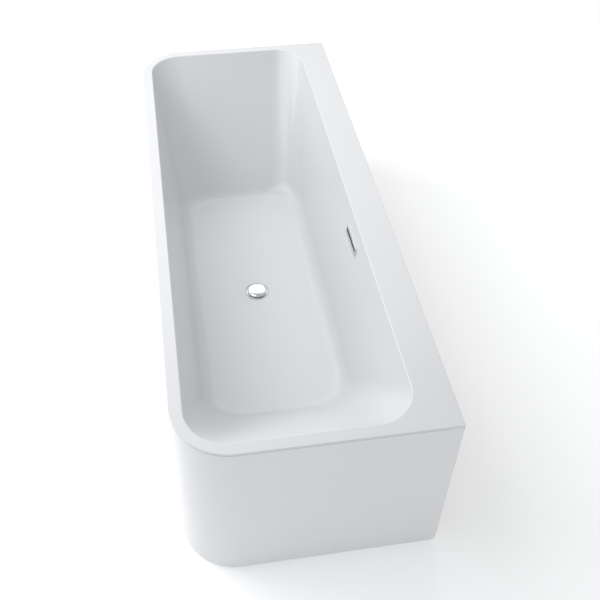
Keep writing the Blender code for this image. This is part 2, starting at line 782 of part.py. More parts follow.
def build_waste():
    place = (BASIN_X, 0, 0)
    bore = TAIL - TAIL_WALL
    lip_under = SEAT + TOUCH
    slope_low, slope_high = flange_slope()
    flange = [
        (bore, SEAT - TAIL_DEPTH),
        (TAIL, SEAT - TAIL_DEPTH),
        (TAIL, lip_under),
        (FLANGE, lip_under),
        (FLANGE, slope_high[1] - EDGE_ROUND),
        (FLANGE - EDGE_ROUND, slope_high[1]),
        slope_high,
        slope_low,
    ]
    turned("waste_flange", flange, "chrome", place, steps=32)
    build_cartridge(bore)
    gasket_top = BOARD_TOP
    gasket_bottom = gasket_top - GASKET
    gasket = [
        (TAIL + RUNNING, gasket_bottom),
        (BODY_FLANGE, gasket_bottom),
        (BODY_FLANGE, gasket_top),
        (TAIL + RUNNING, gasket_top),
    ]
    turned("waste_gasket", gasket, "rubber", place)
    flange_top = gasket_bottom - TOUCH
    body = turned(
        "waste_body",
        [
            (SPIGOT_BORE, SPIGOT_BOTTOM),
            (SPIGOT, SPIGOT_BOTTOM),
            (SPIGOT, BODY_BOTTOM),
            (BODY, BODY_BOTTOM),
            (BODY, flange_top - BODY_FLANGE_HEIGHT),
            (BODY_FLANGE, flange_top - BODY_FLANGE_HEIGHT),
            (BODY_FLANGE, flange_top),
            (BODY_BORE, flange_top),
            (BODY_BORE, BODY_BOTTOM + TRAP_WALL),
            (SPIGOT_BORE, BODY_BOTTOM + TRAP_WALL),
        ],
        "white_plastic",
        place,
    )
    start, end = port_run((BODY_BORE + BODY) / 2, PORT_REACH)
    join(body, cylinders("cutter_port", HOSE, [(start, end)]))
    start, end = port_run(BODY_BORE - RUNNING, PORT_REACH + RUNNING)
    cut(body, cylinders("cutter_port_bore", HOSE_BORE, [(start, end)], steps=20))


def port_direction():
    return Vector((math.cos(PORT_TURN), math.sin(PORT_TURN), 0))


def port_run(start, end):
    """Two points on the axis of the waste body's overflow port."""
    middle = Vector((BASIN_X, 0, PORT_HEIGHT))
    return middle + port_direction() * start, middle + port_direction() * end


def build_cartridge(bore):
    """Click-clack barrel that guides the plug's stem, held in the flange's tail by three arms."""
    place = (BASIN_X, 0, 0)
    top = SEAT - CARTRIDGE_DROP
    stem_bottom = SEAT - CAP_EDGE / 2 - STEM_LENGTH + STEM
    guide = STEM + RUNNING
    barrel = turned(
        "plug_cartridge",
        [
            (0.0, stem_bottom - CARTRIDGE_FLOOR),
            (CARTRIDGE, stem_bottom - CARTRIDGE_FLOOR),
            (CARTRIDGE, top),
            (guide, top),
            (guide, stem_bottom - RUNNING),
            (0.0, stem_bottom - RUNNING),
        ],
        "white_plastic",
        place,
        closed=False,
    )
    arm_height = SEAT - TAIL_DEPTH + ARM_HEIGHT
    arms = bmesh.new()
    for arm in range(ARMS):
        length = bore - TOUCH - (CARTRIDGE + guide) / 2
        middle = (bore - TOUCH + (CARTRIDGE + guide) / 2) / 2
        turn = Matrix.Rotation(math.tau * arm / ARMS, 4, "Z") @ Matrix.Translation((middle, 0, arm_height))
        matrix = turn @ Matrix.Diagonal((length, ARM_WIDTH, ARM_HEIGHT, 1))
        bmesh.ops.create_cube(arms, size=1.0, matrix=matrix)
    join(barrel, add_piece("cutter_arms", arms, None, place))


def nut_profile(inner, outer, bottom, top, lip):
    """Union nut: a skirt round the outer of two tubes and a lip over the end of it, round the inner one."""
    return [
        (outer + TOUCH, bottom),
        (outer + NUT_WALL, bottom),
        (outer + NUT_WALL, top),
        (inner + TOUCH, top),
        (inner + TOUCH, lip),
        (outer + TOUCH, lip),
    ]


def build_trap():
    place = (BASIN_X, 0, 0)
    socket = SPIGOT + TOUCH
    neck = socket + TRAP_WALL
    body = turned(
        "trap_body",
        [
            (0.0, TRAP_BOTTOM),
            (TRAP - TRAP_ROUND, TRAP_BOTTOM),
            (TRAP, TRAP_BOTTOM + TRAP_ROUND),
            (TRAP, TRAP_TOP - TRAP_ROUND),
            (TRAP - TRAP_ROUND, TRAP_TOP),
            (neck, TRAP_TOP),
            (neck, TRAP_NECK_TOP),
            (socket, TRAP_NECK_TOP),
            (socket, TRAP_TOP - TRAP_WALL),
            (TRAP - TRAP_WALL, TRAP_TOP - TRAP_WALL),
            (TRAP - TRAP_WALL, TRAP_BOTTOM + TRAP_WALL),
            (0.0, TRAP_BOTTOM + TRAP_WALL),
        ],
        "white_plastic",
        place,
        closed=False,
    )
    middle = TRAP - TRAP_WALL / 2
    axis = [(BASIN_X + reach, 0, OUTLET_HEIGHT) for reach in (middle - TRAP_WALL, OUTLET_SOCKET_END)]
    join(body, cylinders("cutter_socket", OUTLET_SOCKET, [axis]))
    reaches = (middle - 3 * TRAP_WALL, OUTLET_SOCKET_END + TRAP_WALL)
    bore = [(BASIN_X + reach, 0, OUTLET_HEIGHT) for reach in reaches]
    cut(body, cylinders("cutter_socket_bore", OUTLET + TOUCH, [bore]))
    nut = nut_profile(SPIGOT, neck, TRAP_TOP + TOUCH, TRAP_NECK_TOP + NUT_WALL, TRAP_NECK_TOP + TOUCH)
    turned("trap_nut", nut, "black_plastic", place)
    along_x = Matrix.Translation((BASIN_X, 0, OUTLET_HEIGHT)) @ Matrix.Rotation(math.pi / 2, 4, "Y")
    nut = nut_profile(
        OUTLET,
        OUTLET_SOCKET,
        OUTLET_SOCKET_END - 2 * NUT_WALL,
        OUTLET_SOCKET_END + NUT_WALL,
        OUTLET_SOCKET_END + TOUCH,
    )
    turned("outlet_nut", nut, "black_plastic", along_x)
    end = OUTLET_END - BASIN_X
    pipe = [(OUTLET_BORE, TRAP + TRAP_WALL), (OUTLET, TRAP + TRAP_WALL), (OUTLET, end), (OUTLET_BORE, end)]
    turned("outlet_pipe", pipe, "white_plastic", along_x)


# ---------------------------------------------------------------- overflow


def overflow_frame():
    """Frame on the face of the wall-side wall: x back along the bath, y up the wall, z into the basin."""
    length = math.hypot(BASIN_DEPTH, SIDE_RUN)
    up = Vector((SIDE_RUN, 0, BASIN_DEPTH)) / length
    into = Vector((-BASIN_DEPTH, 0, SIDE_RUN)) / length
    along = up.cross(into)
    x = BASIN_X + OPENING_X - SIDE_RUN * OVERFLOW_DROP / BASIN_DEPTH
    middle = Vector((x, OVERFLOW_OFFSET, HEIGHT - OVERFLOW_DROP))
    turn = Matrix((along, up, into)).transposed().to_4x4()
    return Matrix.Translation(middle) @ turn


def slot_ring(half_length, half_height, depth):
    """Rounded oblong in the overflow's frame."""
    ring = []
    for corner, (sign_x, sign_y) in enumerate(((-1, -1), (1, -1), (1, 1), (-1, 1))):
        for step in range(SLOT_STEPS + 1):
            angle = math.radians(180 + 90 * (corner + step / SLOT_STEPS))
            x = sign_x * (half_length - SLOT_CORNER) + SLOT_CORNER * math.cos(angle)
            y = sign_y * (half_height - SLOT_CORNER) + SLOT_CORNER * math.sin(angle)
            ring.append((x, y, depth))
    return ring



def build_overflow_hole():
    ends = (-BACKING_OUT * 2, COVER_THICKNESS)
    rings = [slot_ring(*HOLE, depth) for depth in ends]
    return loft("cutter_overflow_hole", rings, None, overflow_frame(), loop=False)


def build_overflow():
    frame = overflow_frame()
    half = (COVER_LENGTH / 2, COVER_HEIGHT / 2)
    edge = EDGE_ROUND
    rings = [
        slot_ring(*half, TOUCH),
        slot_ring(*half, COVER_THICKNESS - edge),
        slot_ring(half[0] - edge, half[1] - edge, COVER_THICKNESS),
        slot_ring(*SLIT, COVER_THICKNESS),
        slot_ring(*SLIT, -COLLAR_DEPTH),
        slot_ring(*COLLAR, -COLLAR_DEPTH),
        slot_ring(*COLLAR, TOUCH),
    ]
    loft("overflow_cover", rings, "chrome", frame)
    gasket_top = -BACKING_OUT - TOUCH
    gasket_bottom = gasket_top - GASKET
    rings = [
        slot_ring(*FLANGE_EDGE, gasket_bottom),
        slot_ring(*FLANGE_EDGE, gasket_top),
        slot_ring(*HOLE, gasket_top),
        slot_ring(*HOLE, gasket_bottom),
    ]
    loft("overflow_gasket", rings, "rubber", frame)
    mouth = gasket_bottom - TOUCH
    back = mouth - OVERFLOW_BODY_DEPTH
    casing = (HOLE[0] + OVERFLOW_WALL, HOLE[1] + OVERFLOW_WALL)
    rings = [
        slot_ring(*casing, back),
        slot_ring(*casing, mouth - OVERFLOW_WALL),
        slot_ring(*FLANGE_EDGE, mouth - OVERFLOW_WALL),
        slot_ring(*FLANGE_EDGE, mouth),
        slot_ring(*HOLE, mouth),
        slot_ring(*HOLE, back + OVERFLOW_WALL),
    ]
    body = loft("overflow_body", rings, "white_plastic", frame, loop=False)
    wall_middle = HOLE[1] + OVERFLOW_WALL / 2
    spigot = [frame @ Vector((0, -drop, -HOSE_OFFSET)) for drop in (wall_middle, HOSE_SPIGOT_END)]
    drops = (HOLE[1] - RUNNING, HOSE_SPIGOT_END + RUNNING)
    bore = [frame @ Vector((0, -drop, -HOSE_OFFSET)) for drop in drops]
    join(body, cylinders("cutter_spigot", HOSE, [spigot]))
    cut(body, cylinders("cutter_spigot_bore", HOSE_BORE, [bore], steps=20))


def hose_ends():
    """Where the hose starts under the overflow and ends at the waste body, and its direction at each."""
    frame = overflow_frame()
    top = frame @ Vector((0, -HOSE_SPIGOT_END - TOUCH, -HOSE_OFFSET))
    down = (frame.to_3x3() @ Vector((0, -1, 0))).normalized()
    _, bottom = port_run(0, PORT_REACH + TOUCH)
    return top, down, bottom, port_direction()


def smooth_route(points, count):
    """Points spread along a smooth curve through the middle ones, straight at the two ends."""
    fine = []
    for index in range(1, len(points) - 2):
        before, start, end, after = points[index - 1 : index + 3]
        for step in range(HOSE_FINENESS):
            t = step / HOSE_FINENESS
            straight = 2 * start + (end - before) * t
            bend = (2 * before - 5 * start + 4 * end - after) * t**2
            swing = (3 * start - before - 3 * end + after) * t**3
            fine.append(0.5 * (straight + bend + swing))
    fine.append(points[-2])
    lengths = [0.0]
    for a, b in zip(fine, fine[1:]):
        lengths.append(lengths[-1] + (b - a).length)
    route = [points[0]]
    for index in range(count):
        want = lengths[-1] * index / (count - 1)
        upper = next(place for place, length in enumerate(lengths) if length >= want - TOUCH)
        upper = max(upper, 1)
        share = (want - lengths[upper - 1]) / (lengths[upper] - lengths[upper - 1])
        route.append(fine[upper - 1].lerp(fine[upper], min(share, 1.0)))
    return [*route, points[-1]]


def build_hose():
    """Flexible hose from the overflow down behind the basin and under the rear rail to the waste."""
    top, down, bottom, out = hose_ends()
    lead = HOSE_NUT_LENGTH
    rail_x = BASIN_X + RAIL_SPREAD
    under_rail = RAIL_BOTTOM - HOSE - BAR / 4
    beside = BASIN_X + OPENING_X - SIDE_RUN + BACKING_OUT + HOSE_OFFSET
    foot = 0.5 * FLOOR_FILLET
    beside_y, foot_y, past_y, rail_y = (OVERFLOW_OFFSET * share for share in HOSE_SWEEP)
    points = [
        top,
        top + down * lead,
        top + down * (BASIN_DEPTH * HOSE_DROP),
        Vector((beside, beside_y, FLOOR_EDGE + FLOOR_FILLET)),
        Vector((beside - foot, foot_y, FLOOR_EDGE - foot)),
        Vector((rail_x + 2 * BAR, past_y, under_rail + HOSE / 3)),
        Vector((rail_x, rail_y, under_rail)),
        bottom + out * (2 * lead) + Vector((0, 0, -HOSE / 2)),
        bottom + out * lead,
        bottom,
    ]
    route = smooth_route(points, HOSE_POINTS)
    curve = bpy.data.curves.new("overflow_hose", "CURVE")
    curve.dimensions = "3D"
    curve.bevel_depth = HOSE
    curve.bevel_resolution = 2
    curve.use_fill_caps = True
    spline = curve.splines.new("POLY")
    spline.points.add(len(route) - 1)
    for point, place in zip(spline.points, route):
        point.co = (*place, 1.0)
    hose = bpy.data.objects.new("overflow_hose", curve)
    bpy.context.collection.objects.link(hose)
    finish(hose, "hose")
    for name, start, direction in (("upper", top, down), ("lower", bottom, out)):
        turn = direction.to_track_quat("Z", "Y").to_matrix().to_4x4()
        half = HOSE_NUT_LENGTH / 2
        inner = HOSE + RUNNING
        outer = inner + HOSE_NUT_WALL
        nut = [(inner, -half), (outer, -half), (outer, half), (inner, half)]
        turned(name + "_hose_nut", nut, "black_plastic", Matrix.Translation(start) @ turn)


clear_scene()
hole_cutter = build_overflow_hole()
build_basin_shell(hole_cutter)
build_basin_laminate(hole_cutter)
build_apron_shell()
build_base_board()
build_battens()
build_cradle()
build_feet()
build_plug()
build_waste()
build_trap()
build_overflow()
build_hose()
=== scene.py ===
"""Looks for a back-to-wall bath: acrylic shells, chrome trims, and the cradle, feet and waste beneath."""

import math

import bmesh
import bpy
from mathutils import Matrix, Vector


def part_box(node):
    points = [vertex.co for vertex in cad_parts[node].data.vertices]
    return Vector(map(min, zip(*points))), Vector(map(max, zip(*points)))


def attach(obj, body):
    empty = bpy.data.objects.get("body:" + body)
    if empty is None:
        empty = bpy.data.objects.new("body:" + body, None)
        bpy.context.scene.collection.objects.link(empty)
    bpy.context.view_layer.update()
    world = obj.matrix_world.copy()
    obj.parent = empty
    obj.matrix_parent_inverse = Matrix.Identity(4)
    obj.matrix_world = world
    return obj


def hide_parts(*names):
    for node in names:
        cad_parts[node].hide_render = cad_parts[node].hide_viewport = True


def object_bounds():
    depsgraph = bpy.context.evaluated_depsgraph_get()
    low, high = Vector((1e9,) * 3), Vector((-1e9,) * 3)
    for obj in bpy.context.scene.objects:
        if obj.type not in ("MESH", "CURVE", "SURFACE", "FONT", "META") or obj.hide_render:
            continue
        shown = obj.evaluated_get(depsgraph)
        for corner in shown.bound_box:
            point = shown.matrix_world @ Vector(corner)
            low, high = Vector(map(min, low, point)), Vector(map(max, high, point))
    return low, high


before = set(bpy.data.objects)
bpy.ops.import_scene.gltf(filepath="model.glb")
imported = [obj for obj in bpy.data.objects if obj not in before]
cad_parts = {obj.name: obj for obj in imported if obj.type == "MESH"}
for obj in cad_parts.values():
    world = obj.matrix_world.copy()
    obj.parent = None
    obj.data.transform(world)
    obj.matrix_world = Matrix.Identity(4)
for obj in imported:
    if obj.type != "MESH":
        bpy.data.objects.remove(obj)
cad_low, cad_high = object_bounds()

# Shells
OPENING_CORNER = 0.104
FRONT_CORNER = 0.150
WALL_CORNER = 0.003
FRONT_RIM = 0.035
END_RIM = 0.033
DECK = 0.098
BASIN_DEPTH = 0.400
SIDE_RUN = 0.062
END_RUN = 0.360
FLOOR_FILLET = 0.050
FLOOR_FALL = 0.004
ACRYLIC = 0.005
BACKING = 0.003
BACKING_DROP = 0.025
RIM_ROUND = 0.002
OPENING_ROUND = 0.004
LIP_HEIGHT = 0.030
LIP_SETBACK = 0.0005
SKIRT = 0.006
SKIRT_RETURN = 0.030
SKIRT_FOOT_CORNER = 0.020
SEAM_HEIGHT = 0.0015
SEAM_DEPTH = 0.003
TOUCH = 0.0003
RUNNING = 0.0005

# Waste and overflow
WASTE_HOLE = 0.0265
WASTE_RECESS = 0.039
RECESS_DEPTH = 0.002
RECESS_TURN = 0.4
FLOOR_RINGS = (0.3, 0.6, 0.85, 1.0)
UNDER_RINGS = (1.0, 0.5)
WALL_BANDS = (0.75, 0.5, 0.25)
FLANGE = 0.036
FLANGE_RISE = 0.0025
FLANGE_SLOPE = 0.0105
FLANGE_SHARE = 0.4
FLANGE_ROUND = 0.0006
TAIL = 0.0235
TAIL_WALL = 0.004
TAIL_DEPTH = 0.030
CAP = 0.0328
CAP_EDGE = 0.003
CAP_DOME = 0.006
CAP_LIFT = 0.0052
CAP_ROUND = 0.0010
SEAL_FALL = 0.0005
SEAL_LIP = 0.0045
SEAL_LIP_HEIGHT = 0.0022
SEAL_ROUND = 0.0006
STEM = 0.004
STEM_LENGTH = 0.056
STEM_COLLAR = 0.0077
CARTRIDGE = 0.0105
ARMS = 3
ARM_WIDTH = 0.003
ARM_HEIGHT = 0.004
BODY = 0.029
BODY_FLANGE = 0.037
BODY_FLANGE_HEIGHT = 0.0056
BODY_BORE = 0.024
BODY_BOTTOM = 0.070
SPIGOT = 0.0215
SPIGOT_BORE = 0.0185
SPIGOT_BOTTOM = 0.052
TRAP = 0.052
TRAP_BOTTOM = 0.004
TRAP_TOP = 0.050
TRAP_WALL = 0.003
TRAP_NECK_TOP = 0.060
TRAP_ROUND = 0.006
TRAP_TURN = 0.0018
OUTLET_HEIGHT = 0.030
OUTLET = 0.019
OUTLET_BORE = 0.0165
OUTLET_SOCKET = 0.0225
OUTLET_SOCKET_END = 0.072
NUT_WALL = 0.005
NUT_FLUTES = 18
FLUTE_DEPTH = 0.0009
FLUTE_STOP = 0.0025
BOARD_HOLE = 0.045
BOARD_CORNER = 0.070
OVERFLOW_DROP = 0.065
COVER_LENGTH = 0.118
COVER_HEIGHT = 0.030
COVER_THICKNESS = 0.004
SLIT_LENGTH = 0.104
SLIT_HEIGHT = 0.010
COLLAR_WALL = 0.003
COLLAR_DEPTH = 0.018
HOLE_ROOM = 0.002
OVERFLOW_FLANGE = 0.0065
OVERFLOW_BODY_DEPTH = 0.030
OVERFLOW_WALL = 0.003
SLOT_CORNER = 0.002
GASKET = 0.003
HOSE = 0.0125
HOSE_BORE = 0.0095
HOSE_OFFSET = 0.027
HOSE_SPIGOT_END = 0.040
HOSE_NUT_LENGTH = 0.020
HOSE_NUT_WALL = 0.004
HOSE_NUT_FLUTES = 16
HOSE_FLUTE_DEPTH = 0.0008
HOSE_FLUTE_START = 0.003
HOSE_DROP = 0.45
HOSE_SWEEP = (0.95, 0.82, 0.66, 0.47)
HOSE_POINTS = 60
HOSE_FINENESS = 12
RIB_PITCH = 0.0045
RIB_DEPTH = 0.0018
RIB_SHARES = (0.3, 0.5, 0.8)
PORT_HEIGHT = 0.0835
PORT_REACH = 0.050
PORT_TURN = math.radians(-30)

# Cradle and feet
BAR = 0.025
BAR_WALL = 0.002
BAR_EDGE = 0.003
BOLT = 0.003
BOLT_HEAD = 0.010
BOLT_HEAD_HEIGHT = 0.004
PAD = 0.024
PAD_HEIGHT = 0.010
PAD_HUB = 0.011
PAD_HUB_HEIGHT = 0.020
PAD_FLOOR = 0.0065
STUD = 0.005
STUD_HEX = 0.016
STUD_HEX_HEIGHT = 0.006
JAM_NUT = 0.017
THREAD_PITCH = 0.0015
HEX_CHAMFER = 0.0012
HEX_FACE = 0.97
PAD_EDGE = 0.6
PAD_SHOULDER = 0.85
PAD_RIBS = 8
PAD_RIB = (0.010, 0.0018, 0.006)
PAD_RIB_REACH = 0.0035
PIN_CHAMFER = 0.0005
THREAD_START = 0.6
THREAD_DEPTH = 0.6
THREAD_FLANKS = (0.36, 0.50, 0.86)
THREAD_CHAMFER = 0.8

# Small rounds, and how far a cut runs past a piece
PLATE_ROUND = 0.0009
EDGE_ROUND = 0.0008
FINE_ROUND = 0.0006
THIN_ROUND = 0.0004
EDGE_BREAK = 0.0003
SEAL_BREAK = 0.0002
BATTEN_ROUND = 0.0015
LIP_ROUND = 0.0012
SMALLEST_CORNER = 0.0005
DRILL_PAST = 0.01

# Camera, light and floor
CAMERA_PLACE = (-0.2858, -1.9883, 2.1837)
CAMERA_AIM = (0.0393, -0.0770, 0.300)
CAMERA_ROLL = math.radians(1.061)
CAMERA_LENS = 50.9
CAMERA_SHIFT = (0.03, -0.05)
SENSOR = 36
NEAREST = 0.05
SKY = (0.96, 0.98, 1.0, 1.0)
SKY_STRENGTH = 0.54
FLOOR_SIZE = 24
FLOOR_GLOW = 0.24
LIGHTS = {
    "window_left": {"place": (-2.6, 1.4, 2.1), "aim": (0, 0, 0.3), "size": (2.6, 2.6), "power": 50},
    "ceiling": {"place": (0.3, 2.7, 2.8), "aim": (0.2, -0.2, 0), "size": (3.2, 2.4), "power": 32},
    "near_left": {"place": (-1.2, -0.2, 2.4), "aim": (0.25, -0.6, 0.2), "size": (1.6, 1.6), "power": 20},
    "low_front": {"place": (0.2, -3.2, 0.45), "aim": (0, -0.9, 0.25), "size": (2.4, 0.7), "power": 3},
}

# Levels and places read from the frame
shell_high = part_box("basin_shell")[1]
HALF_X = shell_high.x
HALF_Y = shell_high.y
RIM = shell_high.z
RIM_UNDER = RIM - ACRYLIC
SKIRT_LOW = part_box("apron_shell")[0].z
OPENING_X = HALF_X - (FRONT_RIM + DECK) / 2
OPENING_Y = HALF_Y - END_RIM
BASIN_X = FRONT_RIM - HALF_X + OPENING_X
WASTE = (BASIN_X, 0.0)
FLOOR_EDGE = RIM - BASIN_DEPTH
FLOOR_WASTE = FLOOR_EDGE - FLOOR_FALL
SEAT = FLOOR_WASTE - RECESS_DEPTH
COLLAR_LOW = SEAT - CAP_EDGE / 2
STEM_LOW = COLLAR_LOW - STEM_LENGTH + STEM
WASTE_PLACE = Matrix.Translation((BASIN_X, 0, 0))
OVERFLOW_Y = sum(corner.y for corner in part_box("overflow_cover")) / 2
SLIT = (SLIT_LENGTH / 2, SLIT_HEIGHT / 2)
COLLAR = (SLIT[0] + COLLAR_WALL, SLIT[1] + COLLAR_WALL)
HOLE = (COLLAR[0] + HOLE_ROOM, COLLAR[1] + HOLE_ROOM)
FLANGE_EDGE = (HOLE[0] + OVERFLOW_FLANGE, HOLE[1] + OVERFLOW_FLANGE)

# Fineness: steps round a corner, sides of a round piece, angles up to which faces are shaded as one
CORNER_STEPS = 20
EDGE_STEPS = 4
FILLET_STEPS = 14
SLOT_STEPS = 6
PLATE_STEPS = 3
DOME_STEPS = 12
THREAD_STEPS = 20
FINEST = 96
FINE = 64
SMALL = 32
PIN_SIDES = 30
HOLE_SIDES = 24
FLUTE_SIDES = 16
SMOOTH_ANGLE = 35
THREAD_ANGLE = 30
HOSE_ANGLE = 60
MARK = "outline"

# How near counts as the same point, level or direction
SAME = 1e-6
MERGE = 2e-6
MET = 1e-5
POINT = 1e-4
ALMOST = 0.9999
ALIGNED = 0.99


# ---------------------------------------------------------------- modelling


def select_only(*pieces):
    bpy.ops.object.select_all(action="DESELECT")
    for piece in pieces:
        piece.select_set(True)
    bpy.context.view_layer.objects.active = pieces[0]


def start_piece(name):
    """An empty mesh at the origin, open in edit mode."""
    bpy.ops.object.select_all(action="DESELECT")
    bpy.ops.mesh.primitive_plane_add(size=1)
    piece = bpy.context.active_object
    piece.name = piece.data.name = name
    bpy.ops.object.mode_set(mode="EDIT")
    bpy.ops.mesh.select_mode(type="VERT")
    bpy.ops.mesh.select_all(action="SELECT")
    bpy.ops.mesh.delete(type="VERT")
    edit_mesh().verts.layers.int.new(MARK)
    return piece


def edit_mesh():
    return bmesh.from_edit_mesh(bpy.context.edit_object.data)


def pick(kind, wanted):
    """Select the vertices, edges or faces that pass a test, and nothing else."""
    bpy.ops.mesh.select_mode(type=kind)
    bpy.ops.mesh.select_all(action="DESELECT")
    mesh = edit_mesh()
    for item in {"VERT": mesh.verts, "EDGE": mesh.edges, "FACE": mesh.faces}[kind]:
        if wanted(item):
            item.select_set(True)
    mesh.select_flush_mode()
    bmesh.update_edit_mesh(bpy.context.edit_object.data)


def pick_outlines(*marks):
    layer = edit_mesh().verts.layers.int[MARK]
    pick("VERT", lambda vert: vert[layer] in marks)


def mark_new():
    """Number the outline just drawn."""
    mesh = edit_mesh()
    layer = mesh.verts.layers.int[MARK]
    number = max(vert[layer] for vert in mesh.verts) + 1
    for vert in mesh.verts:
        if vert[layer] == 0:
            vert[layer] = number
    return number


def outline(half_x, half_y, radii, height, centre=(0.0, 0.0), steps=CORNER_STEPS):
    """Draw a rounded rectangle; `radii` are those of its corners at low and high X."""
    middle = (*centre, height)
    bpy.ops.mesh.primitive_plane_add(size=2, location=middle)
    bpy.ops.transform.resize(value=(half_x, half_y, 1), center_override=middle)
    largest = ALMOST * min(half_x, half_y)
    for side, radius in zip((-1, 1), radii):
        corner_x = centre[0] + side * half_x
        layer = edit_mesh().verts.layers.int[MARK]

        def is_corner(vert):
            on_side = vert[layer] == 0 and abs(vert.co.x - corner_x) < SAME
            return on_side and abs(abs(vert.co.y - centre[1]) - half_y) < SAME

        pick("VERT", is_corner)
        bpy.ops.mesh.bevel(offset=min(radius, largest), segments=steps, affect="VERTICES")
    pick_outlines(0)
    bpy.ops.mesh.delete(type="ONLY_FACE")
    return mark_new()


def round_outline(radius, height, centre=(0.0, 0.0)):
    """A circle whose points pair with those of a rounded rectangle."""
    return outline(radius, radius, (radius, radius), height, centre)


def height_of(mark):
    mesh = edit_mesh()
    layer = mesh.verts.layers.int[MARK]
    return next(vert.co.z for vert in mesh.verts if vert[layer] == mark)


def bridge(marks, closed=False):
    """Skin a run of outlines; two in one plane are drawn apart while they are joined, or the skin twists."""
    pairs = list(zip(marks, marks[1:]))
    if closed:
        pairs.append((marks[-1], marks[0]))
    for first, second in pairs:
        apart = 1.0 if abs(height_of(first) - height_of(second)) < SAME else 0.0
        if apart:
            pick_outlines(second)
            bpy.ops.transform.translate(value=(0, 0, apart))
        pick_outlines(first, second)
        bpy.ops.mesh.bridge_edge_loops()
        if apart:
            pick_outlines(second)
            bpy.ops.transform.translate(value=(0, 0, -apart))


def cap(*marks):
    for mark in marks:
        pick_outlines(mark)
        bpy.ops.mesh.edge_face_add()


def end_piece(piece, angle=SMOOTH_ANGLE):
    """Merge doubles, point the faces outwards and leave edit mode."""
    bpy.ops.mesh.select_mode(type="VERT")
    bpy.ops.mesh.select_all(action="SELECT")
    bpy.ops.mesh.remove_doubles(threshold=MERGE)
    bpy.ops.mesh.dissolve_degenerate(threshold=SAME)
    bpy.ops.mesh.select_all(action="SELECT")
    bpy.ops.mesh.normals_make_consistent(inside=False)
    bpy.ops.object.mode_set(mode="OBJECT")
    mark = piece.data.attributes.get(MARK)
    if mark:
        piece.data.attributes.remove(mark)
    smooth(piece, angle)
    return piece


def smooth(piece, angle=SMOOTH_ANGLE):
    select_only(piece)
    bpy.ops.object.shade_smooth_by_angle(angle=math.radians(angle))


def apply(piece, kind, **settings):
    """Add a modifier with these settings and apply it."""
    modifier = piece.modifiers.new(kind.lower(), kind)
    for setting, value in settings.items():
        setattr(modifier, setting, value)
    select_only(piece)
    bpy.ops.object.modifier_apply(modifier=modifier.name)
    return piece


def soften(piece, width, segments=2):
    """Round every edge that is too sharp to be shaded as one."""
    apply(
        piece,
        "BEVEL",
        width=width,
        segments=segments,
        limit_method="ANGLE",
        angle_limit=math.radians(SMOOTH_ANGLE),
        use_clamp_overlap=True,
        harden_normals=False,
    )
    smooth(piece)
    return piece


def even_shading(piece):
    """Keep large flat faces flat in the light, beside the rounded ones."""
    return apply(piece, "WEIGHTED_NORMAL", mode="FACE_AREA", weight=50, keep_sharp=True)


def carve(piece, *tools, how="DIFFERENCE", angle=SMOOTH_ANGLE):
    """Cut, join or intersect a piece with others, which are used up."""
    for tool in tools:
        apply(piece, "BOOLEAN", operation=how, solver="EXACT", object=tool)
        bpy.data.objects.remove(tool, do_unlink=True)
    smooth(piece, angle)
    return piece


def set_at(piece, matrix):
    """Move the mesh to its place and leave the object at the origin."""
    piece.matrix_world = matrix
    select_only(piece)
    bpy.ops.object.transform_apply(location=True, rotation=True, scale=True)
    return piece


def copy_at(piece, name, matrix):
    select_only(piece)
    bpy.ops.object.duplicate(linked=False)
    twin = bpy.context.active_object
    twin.name = twin.data.name = name
    return set_at(twin, matrix)


def throw_away(*pieces):
    for piece in pieces:
        bpy.data.objects.remove(piece, do_unlink=True)


def draw(points, closed=False):
    """Draw a line in the XZ plane from point to point by extruding a vertex."""
    start = Vector((points[0][0], 0, points[0][1]))
    bpy.ops.mesh.primitive_plane_add(size=POINT, location=start)
    bpy.ops.mesh.merge(type="CENTER")
    for (from_x, from_z), (to_x, to_z) in zip(points, points[1:]):
        step = (to_x - from_x, 0, to_z - from_z)
        bpy.ops.mesh.extrude_vertices_move(TRANSFORM_OT_translate={"value": step})
    if closed:
        ends = [Vector((x, 0, z)) for x, z in (points[0], points[-1])]
        pick("VERT", lambda vert: any((vert.co - end).length < MET for end in ends))
        bpy.ops.mesh.edge_face_add()


def turned(name, profile, closed=True, sides=FINE, edge=0.0, segments=2):
    """Turn a profile of (radius, height) about Z; an open one starts and ends on the axis."""
    piece = start_piece(name)
    draw(profile, closed)
    bpy.ops.mesh.select_all(action="SELECT")
    bpy.ops.mesh.spin(steps=sides, angle=math.tau, center=(0, 0, 0), axis=(0, 0, 1))
    end_piece(piece)
    if edge:
        soften(piece, edge, segments)
    return piece


def add_block(low, high):
    middle = (Vector(low) + Vector(high)) / 2
    bpy.ops.mesh.primitive_cube_add(size=1, location=middle)
    bpy.ops.transform.resize(value=Vector(high) - Vector(low), center_override=middle)


def runs_along(edge, axis):
    line = (edge.verts[1].co - edge.verts[0].co).normalized()
    return abs(line[axis]) > ALIGNED


def rounded_block(name, low, high, along, radius):
    """A block with its long edges rounded, still open in edit mode."""
    piece = start_piece(name)
    add_block(low, high)
    pick("EDGE", lambda edge: runs_along(edge, along))
    bpy.ops.mesh.bevel(offset=radius, segments=EDGE_STEPS, affect="EDGES")
    return piece


def bar(name, low, high, along, radius):
    """Solid bar with its long edges and its ends rounded."""
    return soften(end_piece(rounded_block(name, low, high, along, radius)), EDGE_ROUND)


def box_tube(name, low, high, along):
    """Square tube, open at both ends."""
    piece = rounded_block(name, low, high, along, BAR_EDGE)
    pick("FACE", lambda face: abs(face.normal[along]) > ALIGNED)
    bpy.ops.mesh.inset(thickness=BAR_WALL, depth=0, use_individual=True)
    bpy.ops.mesh.delete(type="ONLY_FACE")
    pick("EDGE", lambda edge: len(edge.link_faces) == 1)
    bpy.ops.mesh.bridge_edge_loops()
    return end_piece(piece)


